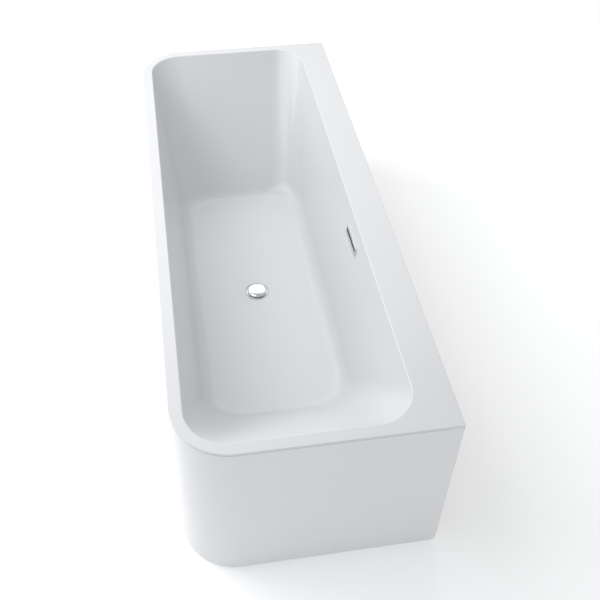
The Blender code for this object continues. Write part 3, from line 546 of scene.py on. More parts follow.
def rod(name, radius, start, end, sides=SMALL):
    """Plain round bar between two points, to cut or join with."""
    start, end = Vector(start), Vector(end)
    piece = start_piece(name)
    bpy.ops.mesh.primitive_cylinder_add(vertices=sides, radius=radius, depth=(end - start).length)
    end_piece(piece)
    turn = (end - start).to_track_quat("Z", "Y").to_matrix().to_4x4()
    return set_at(piece, Matrix.Translation((start + end) / 2) @ turn)


def hex_prism(name, across_flats, low, high, bore=None):
    """Hexagon with turned chamfers at both ends, and a hole if a bore is given."""
    face = across_flats / 2 * HEX_FACE
    corner = across_flats / 2 / math.cos(math.pi / 6)
    middle = (0, 0, (low + high) / 2)
    piece = start_piece(name)
    bpy.ops.mesh.primitive_cylinder_add(vertices=6, radius=corner, depth=high - low, location=middle)
    end_piece(piece)
    carve(piece, turned_blank(name, face, corner, low, high, HEX_CHAMFER), how="INTERSECT")
    if bore:
        carve(piece, rod(name + "_bore", bore, (0, 0, low - DRILL_PAST), (0, 0, high + DRILL_PAST)))
    return piece


def turned_blank(name, end_radius, radius, low, high, chamfer):
    """Round bar with chamfered ends, to trim a hexagon or a thread with."""
    wide = radius + TOUCH
    profile = [
        (0.0, low), (end_radius, low), (wide, low + chamfer),
        (wide, high - chamfer), (end_radius, high), (0.0, high),
    ]
    return turned(name + "_blank", profile, closed=False)


def spokes(name, count, reach, height, size, first=0.0):
    """Small blocks standing round the Z axis, to join on as ribs or arms."""
    piece = start_piece(name)
    for index in range(count):
        angle = math.tau * (index + first) / count
        middle = (reach * math.cos(angle), reach * math.sin(angle), height)
        bpy.ops.mesh.primitive_cube_add(size=1, location=middle)
        bpy.ops.transform.resize(value=size, center_override=middle)
        bpy.ops.transform.rotate(value=-angle, orient_axis="Z", center_override=middle)
    return end_piece(piece)


def show(piece, material, body, slot, *nodes):
    """Give a finished piece its material, the body it rides on and the frame nodes it stands for."""
    piece.data.materials.clear()
    piece.data.materials.append(material)
    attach(piece, body)
    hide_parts(*nodes)
    return piece


# ---------------------------------------------------------------- finishes


def group(name, inputs, outputs):
    """An empty node group with its sockets; returns the tree and its input and output nodes."""
    tree = bpy.data.node_groups.new(name, "ShaderNodeTree")
    kinds = {"value": "NodeSocketFloat", "vector": "NodeSocketVector", "colour": "NodeSocketColor"}
    for socket, kind in inputs:
        tree.interface.new_socket(socket, in_out="INPUT", socket_type=kinds[kind])
    for socket, kind in outputs:
        tree.interface.new_socket(socket, in_out="OUTPUT", socket_type=kinds[kind])
    return tree, tree.nodes.new("NodeGroupInput"), tree.nodes.new("NodeGroupOutput")


def add_node(tree, kind, settings=None, **inputs):
    """A node with its settings and its inputs, each a value or a socket to link from."""
    item = tree.nodes.new(kind)
    for setting, value in (settings or {}).items():
        setattr(item, setting, value)
    for name, value in inputs.items():
        socket = item.inputs[name.replace("_", " ")]
        if isinstance(value, bpy.types.NodeSocket):
            tree.links.new(value, socket)
        else:
            socket.default_value = value
    return item


def mottle_group():
    """Soft cloudy variation between a low and a high value."""
    tree, source, sink = group(
        "mottle",
        (("Vector", "vector"), ("Scale", "value"), ("Detail", "value"), ("Low", "value"), ("High", "value")),
        (("Value", "value"),),
    )
    noise = add_node(
        tree,
        "ShaderNodeTexNoise",
        Vector=source.outputs["Vector"],
        Scale=source.outputs["Scale"],
        Detail=source.outputs["Detail"],
    )
    spread = add_node(
        tree,
        "ShaderNodeMapRange",
        Value=noise.outputs["Fac"],
        From_Min=0.3,
        From_Max=0.7,
        To_Min=source.outputs["Low"],
        To_Max=source.outputs["High"],
    )
    tree.links.new(spread.outputs["Result"], sink.inputs["Value"])
    return tree


def grain_group():
    """Long wavering lines, drawn out along one axis by the stretch."""
    tree, source, sink = group(
        "grain",
        (("Vector", "vector"), ("Stretch", "vector"), ("Scale", "value"), ("Rings", "value")),
        (("Lines", "value"), ("Fibre", "value")),
    )
    drawn = add_node(tree, "ShaderNodeVectorMath", {"operation": "MULTIPLY"})
    tree.links.new(source.outputs["Vector"], drawn.inputs[0])
    tree.links.new(source.outputs["Stretch"], drawn.inputs[1])
    scale = source.outputs["Scale"]
    bend = add_node(tree, "ShaderNodeTexNoise", Vector=drawn.outputs[0], Scale=scale, Detail=2.0)
    rings = add_node(tree, "ShaderNodeMath", {"operation": "MULTIPLY"})
    tree.links.new(bend.outputs["Fac"], rings.inputs[0])
    tree.links.new(source.outputs["Rings"], rings.inputs[1])
    wave = add_node(tree, "ShaderNodeMath", {"operation": "PINGPONG"})
    tree.links.new(rings.outputs[0], wave.inputs[0])
    wave.inputs[1].default_value = 1.0
    fine = add_node(tree, "ShaderNodeMath", {"operation": "MULTIPLY"})
    tree.links.new(scale, fine.inputs[0])
    fine.inputs[1].default_value = 14.0
    fibre = add_node(tree, "ShaderNodeTexNoise", Vector=drawn.outputs[0], Scale=fine.outputs[0], Detail=3.0)
    tree.links.new(wave.outputs[0], sink.inputs["Lines"])
    tree.links.new(fibre.outputs["Fac"], sink.inputs["Fibre"])
    return tree


def flake_group():
    """Irregular flakes: a random tone for each, and a line where they meet."""
    tree, source, sink = group(
        "flakes", (("Vector", "vector"), ("Scale", "value")), (("Tone", "value"), ("Edge", "value"))
    )
    cells = add_node(
        tree, "ShaderNodeTexVoronoi", Vector=source.outputs["Vector"], Scale=source.outputs["Scale"]
    )
    tone = add_node(tree, "ShaderNodeSeparateColor", Color=cells.outputs["Color"])
    edges = add_node(
        tree,
        "ShaderNodeTexVoronoi",
        {"feature": "DISTANCE_TO_EDGE"},
        Vector=source.outputs["Vector"],
        Scale=source.outputs["Scale"],
    )
    line = add_node(tree, "ShaderNodeMapRange", Value=edges.outputs["Distance"], From_Min=0.0, From_Max=0.06)
    tree.links.new(tone.outputs["Red"], sink.inputs["Tone"])
    tree.links.new(line.outputs["Result"], sink.inputs["Edge"])
    return tree


MOTTLE = mottle_group()
GRAIN = grain_group()
FLAKES = flake_group()


def new_finish(name, metallic=0.0, **constants):
    """A material, its tree, its shader and a vector that follows the piece."""
    material = bpy.data.materials.new(name)
    material.use_nodes = True
    tree = material.node_tree
    shader = tree.nodes["Principled BSDF"]
    shader.inputs["Metallic"].default_value = metallic
    for socket, value in constants.items():
        shader.inputs[socket.replace("_", " ")].default_value = value
    where = tree.nodes.new("ShaderNodeTexCoord")
    mapping = tree.nodes.new("ShaderNodeMapping")
    tree.links.new(where.outputs["Object"], mapping.inputs["Vector"])
    return material, tree, shader, mapping.outputs["Vector"]


def grouped(tree, kind, vector, **values):
    """Add one of the groups, fed by a vector and with its other inputs set; returns its outputs."""
    item = tree.nodes.new("ShaderNodeGroup")
    item.node_tree = kind
    tree.links.new(vector, item.inputs["Vector"])
    for socket, value in values.items():
        item.inputs[socket].default_value = value
    return item.outputs


def mottled(tree, vector, scale, low, high, detail=3.0):
    return grouped(tree, MOTTLE, vector, Scale=scale, Detail=detail, Low=low, High=high)["Value"]


def grained(tree, vector, stretch, scale, rings):
    outputs = grouped(tree, GRAIN, vector, Stretch=stretch, Scale=scale, Rings=rings)
    return outputs["Lines"], outputs["Fibre"]


def flaked(tree, vector, scale):
    outputs = grouped(tree, FLAKES, vector, Scale=scale)
    return outputs["Tone"], outputs["Edge"]


def blended(tree, share, dark, light):
    """Colour between two, by a mask."""
    mix = tree.nodes.new("ShaderNodeMix")
    mix.data_type = "RGBA"
    tree.links.new(share, mix.inputs["Factor"])
    for socket, colour in ((mix.inputs[6], dark), (mix.inputs[7], light)):
        if isinstance(colour, bpy.types.NodeSocket):
            tree.links.new(colour, socket)
        else:
            socket.default_value = (*colour, 1.0)
    return mix.outputs[2]


def relief(tree, shader, height, distance, strength=1.0):
    bump = tree.nodes.new("ShaderNodeBump")
    bump.inputs["Strength"].default_value = strength
    bump.inputs["Distance"].default_value = distance
    tree.links.new(height, bump.inputs["Height"])
    tree.links.new(bump.outputs["Normal"], shader.inputs["Normal"])


def feed(tree, shader, **sockets):
    for name, source in sockets.items():
        tree.links.new(source, shader.inputs[name.replace("_", " ")])


def even_finish(name, colours, drift, gloss, gloss_drift, grain=None, **settings):
    """A finish that drifts softly between two colours and two roughnesses, with a fine grain if asked.

    A drift is its scale and detail; the grain is its scale, detail, depth and strength.
    """
    finish, tree, shader, vector = new_finish(name, **settings)
    scale, detail = drift
    tone = mottled(tree, vector, scale, 0.0, 1.0, detail)
    feed(tree, shader, Base_Color=blended(tree, tone, *colours))
    scale, detail = gloss_drift
    feed(tree, shader, Roughness=mottled(tree, vector, scale, *gloss, detail))
    if grain:
        scale, detail, depth, strength = grain
        relief(tree, shader, mottled(tree, vector, scale, 0.0, 1.0, detail), depth, strength)
    return finish


def gloss_acrylic(name, *colours):
    """Cast sanitary acrylic: clear gloss over white, a little uneven as a vacuum-formed sheet is."""
    coat = {"Coat_Weight": 0.15, "Coat_Roughness": 0.10, "IOR": 1.49}
    return even_finish(name, colours, (2.2, 1.0), (0.28, 0.30), (4.0, 1.0), **coat)


def chrome_plate():
    colours = ((0.70, 0.71, 0.73), (0.80, 0.81, 0.83))
    return even_finish("chrome_plate", colours, (60.0, 3.0), (0.17, 0.24), (140.0, 4.0), metallic=1.0)


def galvanised_steel():
    """Hot-dipped tube with its spangle."""
    finish, tree, shader, vector = new_finish("galvanised_steel", metallic=1.0)
    tone, edge = flaked(tree, vector, 170.0)
    colour = blended(tree, tone, (0.34, 0.36, 0.38), (0.56, 0.58, 0.60))
    dust = mottled(tree, vector, 22.0, 0.0, 0.45, detail=6.0)
    feed(tree, shader, Base_Color=blended(tree, dust, colour, (0.60, 0.61, 0.60)))
    feed(tree, shader, Roughness=mottled(tree, vector, 60.0, 0.32, 0.58, detail=6.0))
    relief(tree, shader, edge, 0.00004, 0.4)
    return finish


def bright_zinc():
    colours = ((0.55, 0.56, 0.58), (0.76, 0.75, 0.68))
    grain = (900.0, 3.0, 0.00002, 0.5)
    return even_finish("bright_zinc", colours, (180.0, 4.0), (0.20, 0.40), (260.0, 4.0), grain, metallic=1.0)


def moulded_plastic(name, dark, light, low, high, grain):
    """Injection-moulded plastic with a fine even skin."""
    skin = (grain, 4.0, 0.00004, 0.5)
    return even_finish(name, (dark, light), (14.0, 3.0), (low, high), (90.0, 5.0), skin, IOR=1.46)


def dusty_rubber():
    colours = ((0.018, 0.018, 0.019), (0.050, 0.050, 0.050))
    grain = (1400.0, 3.0, 0.00005, 0.6)
    return even_finish("black_rubber", colours, (50.0, 6.0), (0.65, 0.9), (120.0, 5.0), grain, IOR=1.5)


def chipboard():
    """Pressed wood chips of mixed size and tone, with dark gaps between the coarse ones."""
    finish, tree, shader, vector = new_finish("chipboard", IOR=1.45)
    coarse, gap = flaked(tree, vector, 190.0)
    fine, _ = flaked(tree, vector, 520.0)
    base = blended(tree, coarse, (0.33, 0.21, 0.11), (0.62, 0.46, 0.28))
    mixed = blended(tree, mottled(tree, vector, 160.0, 0.1, 0.7), base, (0.52, 0.37, 0.21))
    chips = blended(tree, fine, mixed, (0.68, 0.53, 0.34))
    feed(tree, shader, Base_Color=blended(tree, gap, (0.20, 0.12, 0.06), chips))
    feed(tree, shader, Roughness=mottled(tree, vector, 80.0, 0.72, 0.92, detail=4.0))
    relief(tree, shader, coarse, 0.0003, 0.5)
    return finish


def sawn_softwood(name, stretch):
    """Pine batten with growth rings drawn out along its length."""
    finish, tree, shader, vector = new_finish(name, IOR=1.45)
    lines, fibre = grained(tree, vector, stretch, 9.0, 14.0)
    late = blended(tree, lines, (0.47, 0.30, 0.15), (0.74, 0.57, 0.36))
    feed(tree, shader, Base_Color=blended(tree, fibre, late, (0.80, 0.66, 0.46)))
    feed(tree, shader, Roughness=mottled(tree, vector, 60.0, 0.62, 0.85, detail=4.0))
    relief(tree, shader, fibre, 0.0004, 0.6)
    return finish


def glass_fibre():
    """Sprayed resin and chopped strand: milky, ropy and slightly translucent-looking."""
    finish, tree, shader, vector = new_finish("glass_fibre_backing", Coat_Weight=0.15, Coat_Roughness=0.3)
    first, strands = grained(tree, vector, (1.0, 0.22, 1.0), 42.0, 9.0)
    second, cross = grained(tree, vector, (0.22, 1.0, 0.45), 38.0, 9.0)
    lay = blended(tree, first, (0.60, 0.59, 0.50), (0.80, 0.79, 0.71))
    over = blended(tree, mottled(tree, vector, 25.0, 0.0, 1.0), lay, (0.72, 0.70, 0.60))
    feed(tree, shader, Base_Color=blended(tree, second, over, (0.84, 0.83, 0.76)))
    feed(tree, shader, Roughness=mottled(tree, vector, 70.0, 0.38, 0.75, detail=6.0))
    relief(tree, shader, blended(tree, cross, (0, 0, 0), strands), 0.0012, 0.8)
    return finish


def pale_floor():
    colours = ((0.955, 0.955, 0.958), (0.965, 0.965, 0.965))
    glow = {"Specular_IOR_Level": 0.2, "Emission_Strength": FLOOR_GLOW}
    return even_finish("pale_floor", colours, (1.5, 3.0), (0.85, 0.95), (6.0, 3.0), **glow)


# ---------------------------------------------------------------- camera, light and floor


def set_camera():
    """Above the near end and a little to the open side, looking down along the bath."""
    camera = bpy.data.objects.new("camera", bpy.data.cameras.new("camera"))
    bpy.context.collection.objects.link(camera)
    towards = Vector(CAMERA_AIM) - Vector(CAMERA_PLACE)
    level = towards.to_track_quat("-Z", "Y").to_matrix().to_4x4()
    camera.matrix_world = Matrix.Translation(CAMERA_PLACE) @ level @ Matrix.Rotation(CAMERA_ROLL, 4, "Z")
    camera.data.lens = CAMERA_LENS
    camera.data.sensor_width = SENSOR
    camera.data.shift_x, camera.data.shift_y = CAMERA_SHIFT
    camera.data.clip_start = NEAREST
    bpy.context.scene.camera = camera


def soft_light(name, place, aim, size, power):
    lamp = bpy.data.lights.new(name, "AREA")
    lamp.shape = "RECTANGLE"
    lamp.size, lamp.size_y = size
    lamp.energy = power
    item = bpy.data.objects.new(name, lamp)
    bpy.context.collection.objects.link(item)
    item.location = place
    item.rotation_euler = (Vector(aim) - Vector(place)).to_track_quat("-Z", "Y").to_euler()


def set_studio():
    scene = bpy.context.scene
    scene.view_settings.view_transform = "Standard"
    world = bpy.data.worlds.new("studio")
    world.use_nodes = True
    sky = world.node_tree.nodes["Background"]
    sky.inputs["Color"].default_value = SKY
    sky.inputs["Strength"].default_value = SKY_STRENGTH
    scene.world = world
    for name, light in LIGHTS.items():
        soft_light(name, **light)
    floor = start_piece("floor")
    under = (0, 0, cad_low.z - TOUCH)
    bpy.ops.mesh.primitive_grid_add(x_subdivisions=8, y_subdivisions=8, size=FLOOR_SIZE, location=under)
    end_piece(floor)
    floor.data.materials.append(pale_floor())


# ---------------------------------------------------------------- shells


def wall_inset(run, rise, behind=0.0):
    """How far a basin wall stands in from the opening, at a height above the floor's edge.

    The face turns over from the rim through a small round and into the floor through a large one.
    """
    lean = math.atan2(BASIN_DEPTH, run)
    reach = FLOOR_FILLET + behind
    if rise < FLOOR_FILLET - reach * math.cos(lean):
        toe = run + FLOOR_FILLET * math.tan(lean / 2)
        return toe - math.sqrt(max(reach**2 - (FLOOR_FILLET - rise) ** 2, 0.0))
    drop = BASIN_DEPTH - rise
    if behind == 0.0 and drop < OPENING_ROUND * (1 - math.cos(lean)):
        turn = math.acos(1 - drop / OPENING_ROUND)
        return OPENING_ROUND * (math.sin(turn) - math.tan(lean / 2))
    return run * drop / BASIN_DEPTH - behind / math.sin(lean)


def basin_outline(rise, behind=0.0):
    side = wall_inset(SIDE_RUN, rise, behind)
    end = wall_inset(END_RUN, rise, behind)
    corner = OPENING_CORNER + behind + max(0.0, -side if behind == 0.0 else 0.0)
    return outline(OPENING_X - side, OPENING_Y - end, (corner, corner), FLOOR_EDGE + rise, WASTE)


def fillet_rises(behind=0.0):
    """Heights of the outlines from the edge of the floor to where the long walls are straight."""
    lean = math.atan2(BASIN_DEPTH, SIDE_RUN)
    reach = FLOOR_FILLET + behind
    return [FLOOR_FILLET - reach * math.cos(lean * step / FILLET_STEPS) for step in range(FILLET_STEPS + 1)]


def floor_outlines(behind, hole, shares):
    """Outlines of the floor, closing in on the waste and falling to it."""
    half_x = OPENING_X - wall_inset(SIDE_RUN, -behind, behind)
    half_y = OPENING_Y - wall_inset(END_RUN, -behind, behind)
    marks = []
    for share in shares:
        radius = OPENING_CORNER * (1 - share) + hole * share
        size_x = half_x * (1 - share) + hole * share
        size_y = half_y * (1 - share) + hole * share
        height = FLOOR_EDGE - behind - FLOOR_FALL * share
        marks.append(outline(size_x, size_y, (radius, radius), height, WASTE))
    return marks


def rim_outline(inset, height):
    corners = (FRONT_CORNER - inset, max(WALL_CORNER - inset, SMALLEST_CORNER))
    return outline(HALF_X - inset, HALF_Y - inset, corners, height)


def overflow_place():
    """Matrix on the face of the wall-side wall: X back along the bath, Y up the wall, Z into the basin."""
    length = math.hypot(BASIN_DEPTH, SIDE_RUN)
    up = Vector((SIDE_RUN, 0, BASIN_DEPTH)) / length
    into = Vector((-BASIN_DEPTH, 0, SIDE_RUN)) / length
    x = BASIN_X + OPENING_X - SIDE_RUN * OVERFLOW_DROP / BASIN_DEPTH
    turn = Matrix((up.cross(into), up, into)).transposed().to_4x4()
    return Matrix.Translation((x, OVERFLOW_Y, RIM - OVERFLOW_DROP)) @ turn


def slot(size, depth, radius=SLOT_CORNER):
    return outline(*size, (radius, radius), depth, steps=SLOT_STEPS)


def overflow_cutter(name):
    piece = start_piece(name)
    marks = [slot(HOLE, -4 * (ACRYLIC + BACKING)), slot(HOLE, 2 * COVER_THICKNESS)]
    bridge(marks)
    cap(*marks)
    end_piece(piece)
    return set_at(piece, overflow_place())


def build_basin(acrylic):
    piece = start_piece("bath_shell")
    marks = [rim_outline(0.0, RIM_UNDER)]
    for step in range(EDGE_STEPS + 1):
        turn = math.pi / 2 * step / EDGE_STEPS
        marks.append(rim_outline(RIM_ROUND * (1 - math.cos(turn)), RIM - RIM_ROUND * (1 - math.sin(turn))))
    lean = math.atan2(BASIN_DEPTH, SIDE_RUN)
    for step in range(2 * EDGE_STEPS + 1):
        turn = lean * step / 2 / EDGE_STEPS
        marks.append(basin_outline(BASIN_DEPTH - OPENING_ROUND * (1 - math.cos(turn))))
    marks += [basin_outline(BASIN_DEPTH * share) for share in WALL_BANDS]
    marks += [basin_outline(rise) for rise in reversed(fillet_rises())]
    marks += floor_outlines(0.0, WASTE_RECESS, FLOOR_RINGS)
    soft = RECESS_DEPTH / 2
    turn = soft * RECESS_TURN
    recess = [
        (WASTE_RECESS - turn, FLOOR_WASTE - turn),
        (WASTE_RECESS - soft, SEAT),
        (WASTE_HOLE, SEAT),
        (WASTE_HOLE, FLOOR_WASTE - ACRYLIC),
    ]
    marks += [round_outline(radius, height, WASTE) for radius, height in recess]
    marks += floor_outlines(ACRYLIC, WASTE_RECESS, UNDER_RINGS)
    marks += [basin_outline(rise, ACRYLIC) for rise in fillet_rises(ACRYLIC)]
    marks += [basin_outline(BASIN_DEPTH / 2, ACRYLIC), basin_outline(BASIN_DEPTH - ACRYLIC, ACRYLIC)]
    bridge(marks, closed=True)
    end_piece(piece)
    out = HALF_X - LIP_SETBACK
    end = HALF_Y - SKIRT_RETURN - RIM_ROUND
    lip = bar("lip", (out - ACRYLIC, -end, RIM - LIP_HEIGHT), (out, end, RIM - ACRYLIC / 2), 1, LIP_ROUND)
    carve(piece, lip, how="UNION")
    carve(piece, overflow_cutter("overflow_hole"))
    even_shading(piece)
    show(piece, acrylic, "root", "acrylic_shell", "basin_shell")


def build_backing(fibre):
    """Resin and glass sprayed on the back of the basin, with an uneven skin."""
    piece = start_piece("glass_fibre_shell")
    inner = ACRYLIC + TOUCH
    outer = inner + BACKING
    top = BASIN_DEPTH - BACKING_DROP
    marks = [basin_outline(top, outer), basin_outline(top, inner), basin_outline(BASIN_DEPTH / 2, inner)]
    marks += [basin_outline(rise, inner) for rise in reversed(fillet_rises(inner))]
    marks += floor_outlines(inner, WASTE_RECESS, UNDER_RINGS[::-1])
    marks += [round_outline(BODY, FLOOR_WASTE - depth, WASTE) for depth in (inner, outer)]
    marks += floor_outlines(outer, WASTE_RECESS, UNDER_RINGS)
    marks += [basin_outline(rise, outer) for rise in fillet_rises(outer)]
    marks += [basin_outline(BASIN_DEPTH / 2, outer)]
    bridge(marks, closed=True)
    end_piece(piece)
    carve(piece, overflow_cutter("backing_hole"))
    show(piece, fibre, "root", "backing", "basin_laminate")


def skirt_foot_tool():
    """What lies outside the round of the skirt's lower corners against the wall."""
    past = SKIRT_FOOT_CORNER
    middle = (HALF_X - SKIRT_FOOT_CORNER, SKIRT_LOW + SKIRT_FOOT_CORNER)
    tool = start_piece("skirt_foot_tool")
    add_block((middle[0], -HALF_Y - past, SKIRT_LOW - past), (HALF_X + past, HALF_Y + past, middle[1]))
    end_piece(tool)
    ends = [(middle[0], side * (HALF_Y + 2 * past), middle[1]) for side in (-1, 1)]
    return carve(tool, rod("skirt_foot_round", SKIRT_FOOT_CORNER, *ends, sides=4 * CORNER_STEPS))


def build_skirt(acrylic):
    """Skirt round the front and both ends, with the shadow gap under the rim and short returns behind."""
    piece = start_piece("bath_skirt")
    top = RIM_UNDER - TOUCH
    shoulder = RIM_UNDER - SEAM_HEIGHT
    section = [
        (FINE_ROUND, SKIRT_LOW),
        (0.0, SKIRT_LOW + FINE_ROUND),
        (0.0, shoulder - FINE_ROUND),
        (FINE_ROUND, shoulder),
        (SEAM_DEPTH, shoulder),
        (SEAM_DEPTH, top),
        (SKIRT, top),
        (SKIRT, SKIRT_LOW),
    ]
    bridge([rim_outline(inset, height) for inset, height in section], closed=True)
    end_piece(piece)
    tool = start_piece("skirt_back_tool")
    end = HALF_Y - SKIRT_RETURN
    add_block((HALF_X - 2 * SKIRT, -end, SKIRT_LOW - BAR), (HALF_X + SKIRT, end, RIM + BAR))
    end_piece(tool)
    carve(piece, tool, skirt_foot_tool())
    even_shading(piece)
    show(piece, acrylic, "root", "acrylic_skirt", "apron_shell")


# ---------------------------------------------------------------- timber and steel


def build_timber(board, along, across):
    for end, axis, wood in (("front", 1, along), ("near", 0, across), ("far", 0, across)):
        for place in ("rim", "foot"):
            node = f"{end}_{place}_batten"
            piece = bar(f"timber_{end}_{place}", *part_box(node), axis, BATTEN_ROUND)
            show(piece, wood, "root", "batten", node)
    piece = bar("deck_board", *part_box("deck_batten"), 1, FINE_ROUND)
    show(piece, board, "root", "board", "deck_batten")


def build_base_board(board):
    low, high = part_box("base_board")
    size = ((high.x - low.x) / 2, (high.y - low.y) / 2)
    piece = start_piece("chipboard_base")
    radii = (BOARD_CORNER, BOARD_CORNER)
    marks = [
        outline(*size, radii, low.z, WASTE),
        outline(*size, radii, high.z, WASTE),
        round_outline(BOARD_HOLE, high.z, WASTE),
        round_outline(BOARD_HOLE, low.z, WASTE),
    ]
    bridge(marks, closed=True)
    end_piece(piece)
    soften(piece, EDGE_ROUND)
    even_shading(piece)
    show(piece, board, "root", "board", "base_board")


def middle_of(node):
    low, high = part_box(node)
    return (low + high) / 2


def nodes_named(start):
    return [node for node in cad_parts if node.startswith(start)]


def through(spots, low, high, radius, name):
    """Rods standing at several spots, to drill with."""
    drill = start_piece(name)
    for x, y in spots:
        middle = (x, y, (low + high) / 2)
        bpy.ops.mesh.primitive_cylinder_add(
            vertices=HOLE_SIDES, radius=radius, depth=high - low, location=middle
        )
    return end_piece(drill)


def build_cradle(steel):
    bolts = nodes_named("frame_bolt_")
    studs = nodes_named("foot_stud_")
    for side in ("front", "rear"):
        node = side + "_rail"
        low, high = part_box(node)
        tube = box_tube("steel_" + node, low, high, 1)
        spots = [middle_of(bolt)[:2] for bolt in bolts if bolt.endswith(side)]
        carve(tube, through(spots, low.z - BAR / 4, low.z + BAR / 2, BOLT + RUNNING, "rail_drill"))
        show(soften(tube, THIN_ROUND, segments=1), steel, "root", "frame_steel", node)
    for place in ("near", "mid", "far"):
        node = place + "_cross_bar"
        low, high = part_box(node)
        tube = box_tube("steel_" + node, low, high, 0)
        reach = (low.z - BAR / 4, high.z + BAR / 4)
        bolt_spots = [middle_of(bolt)[:2] for bolt in bolts if f"_{place}_" in bolt]
        stud_spots = [middle_of(stud)[:2] for stud in studs if f"_{place}" in stud]
        carve(tube, through(bolt_spots, *reach, BOLT + RUNNING, "bolt_drill"))
        carve(tube, through(stud_spots, *reach, STUD + RUNNING, "stud_drill"))
        show(soften(tube, THIN_ROUND, segments=1), steel, "root", "frame_steel", node)
        node = place + "_deck_post"
        show(box_tube("steel_" + node, *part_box(node), 2), steel, "root", "frame_steel", node)


def build_bolts(zinc):
    low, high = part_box("frame_bolt_mid_front")
    bolt = hex_prism("bolt", BOLT_HEAD, low.z, low.z + BOLT_HEAD_HEIGHT)
    inside = low.z + BOLT_HEAD_HEIGHT / 2
    profile = [
        (0.0, inside), (BOLT, inside), (BOLT, high.z - FINE_ROUND),
        (BOLT - FINE_ROUND, high.z), (0.0, high.z),
    ]
    carve(bolt, turned("shank", profile, closed=False, sides=SMALL), how="UNION")
    for node in nodes_named("frame_bolt_"):
        x, y, _ = middle_of(node)
        piece = copy_at(bolt, node.replace("frame_bolt", "hex_bolt"), Matrix.Translation((x, y, 0)))
        show(piece, zinc, "root", "zinc", node)
    throw_away(bolt)


def threaded_rod(name, radius, pitch, low, high):
    """Rod with a real screw thread, chamfered at both ends."""
    root = radius - THREAD_DEPTH * pitch
    start = low - 2 * pitch
    rise, crest, fall = (start + share * pitch for share in THREAD_FLANKS)
    piece = start_piece(name)
    draw([(root, start), (radius, rise), (radius, crest), (root, fall), (root, start + pitch)])
    bpy.ops.object.mode_set(mode="OBJECT")
    turns = math.ceil((high - low) / pitch) + 3
    fineness = {"steps": THREAD_STEPS, "render_steps": THREAD_STEPS}
    apply(piece, "SCREW", screw_offset=pitch, iterations=turns, axis="Z", **fineness)
    bpy.ops.object.mode_set(mode="EDIT")
    bpy.ops.mesh.select_all(action="SELECT")
    bpy.ops.mesh.remove_doubles(threshold=MERGE)
    for height, side in ((low - pitch / 3, "clear_inner"), (high + pitch / 3, "clear_outer")):
        bpy.ops.mesh.select_all(action="SELECT")
        bpy.ops.mesh.bisect(plane_co=(0, 0, height), plane_no=(0, 0, 1), use_fill=True, **{side: True})
    end_piece(piece, THREAD_ANGLE)
    chamfer = THREAD_CHAMFER * pitch
    blank = turned_blank(name, radius - chamfer, radius, low, high, chamfer + TOUCH)
    return carve(piece, blank, how="INTERSECT", angle=THREAD_ANGLE)


def foot_pad():
    """Moulded pad with a hub for the stud and ribs round it."""
    shoulder = PAD_HEIGHT * PAD_SHOULDER
    bore = STUD + RUNNING
    profile = [
        (0.0, 0.0), (PAD, 0.0), (PAD, PAD_HEIGHT * PAD_EDGE), (PAD * PAD_SHOULDER, shoulder),
        (PAD_HUB, shoulder), (PAD_HUB, PAD_HUB_HEIGHT),
        (bore, PAD_HUB_HEIGHT), (bore, PAD_FLOOR), (0.0, PAD_FLOOR),
    ]
    pad = turned("pad", profile, closed=False, edge=EDGE_ROUND, segments=3)
    ribs = spokes("pad_ribs", PAD_RIBS, PAD_HUB + PAD_RIB_REACH, PAD_HEIGHT, PAD_RIB, first=0.5)
    return carve(pad, ribs, how="UNION")


def foot_stud():
    """M10 stud: plain pin in the pad, a hexagon for the spanner, and thread above."""
    low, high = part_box("foot_stud_mid")
    hex_low = PAD_HUB_HEIGHT + TOUCH
    inside = hex_low + STUD_HEX_HEIGHT / 2
    stud = hex_prism("stud", STUD_HEX, hex_low, hex_low + STUD_HEX_HEIGHT)
    profile = [
        (0.0, low.z), (STUD - PIN_CHAMFER, low.z), (STUD, low.z + PIN_CHAMFER), (STUD, inside), (0.0, inside),
    ]
    carve(stud, turned("pin", profile, closed=False, sides=PIN_SIDES), how="UNION")
    start = hex_low + STUD_HEX_HEIGHT * THREAD_START
    thread = threaded_rod("thread", STUD, THREAD_PITCH, start, high.z)
    return carve(stud, thread, how="UNION", angle=THREAD_ANGLE)


def build_feet(plastic, zinc):
    pad = foot_pad()
    stud = foot_stud()
    nut_low, nut_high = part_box("foot_nut_mid")
    nut = hex_prism("nut", JAM_NUT, nut_low.z, nut_high.z, bore=STUD + RUNNING)
    for node in nodes_named("foot_pad_"):
        foot = node.removeprefix("foot_pad_")
        x, y, _ = middle_of(node)
        place = Matrix.Translation((x, y, 0))
        show(copy_at(pad, "ribbed_pad_" + foot, place), plastic, "pad_" + foot, "foot_plastic", node)
        show(copy_at(stud, "screw_" + foot, place), zinc, "stud_" + foot, "zinc", "foot_stud_" + foot)
        show(copy_at(nut, "jam_nut_" + foot, place), zinc, "root", "zinc", "foot_nut_" + foot)
    throw_away(pad, stud, nut)


# ---------------------------------------------------------------- waste and trap


def fluted(piece, radius, count, low, high, depth):
    """Grip flutes down the side of a round piece that stands on Z."""
    reach = radius + depth
    tool = start_piece("flutes")
    for index in range(count):
        angle = math.tau * index / count
        middle = (reach * math.cos(angle), reach * math.sin(angle), (low + high) / 2)
        bpy.ops.mesh.primitive_cylinder_add(
            vertices=FLUTE_SIDES, radius=2 * depth, depth=high - low, location=middle
        )
    return carve(piece, end_piece(tool))


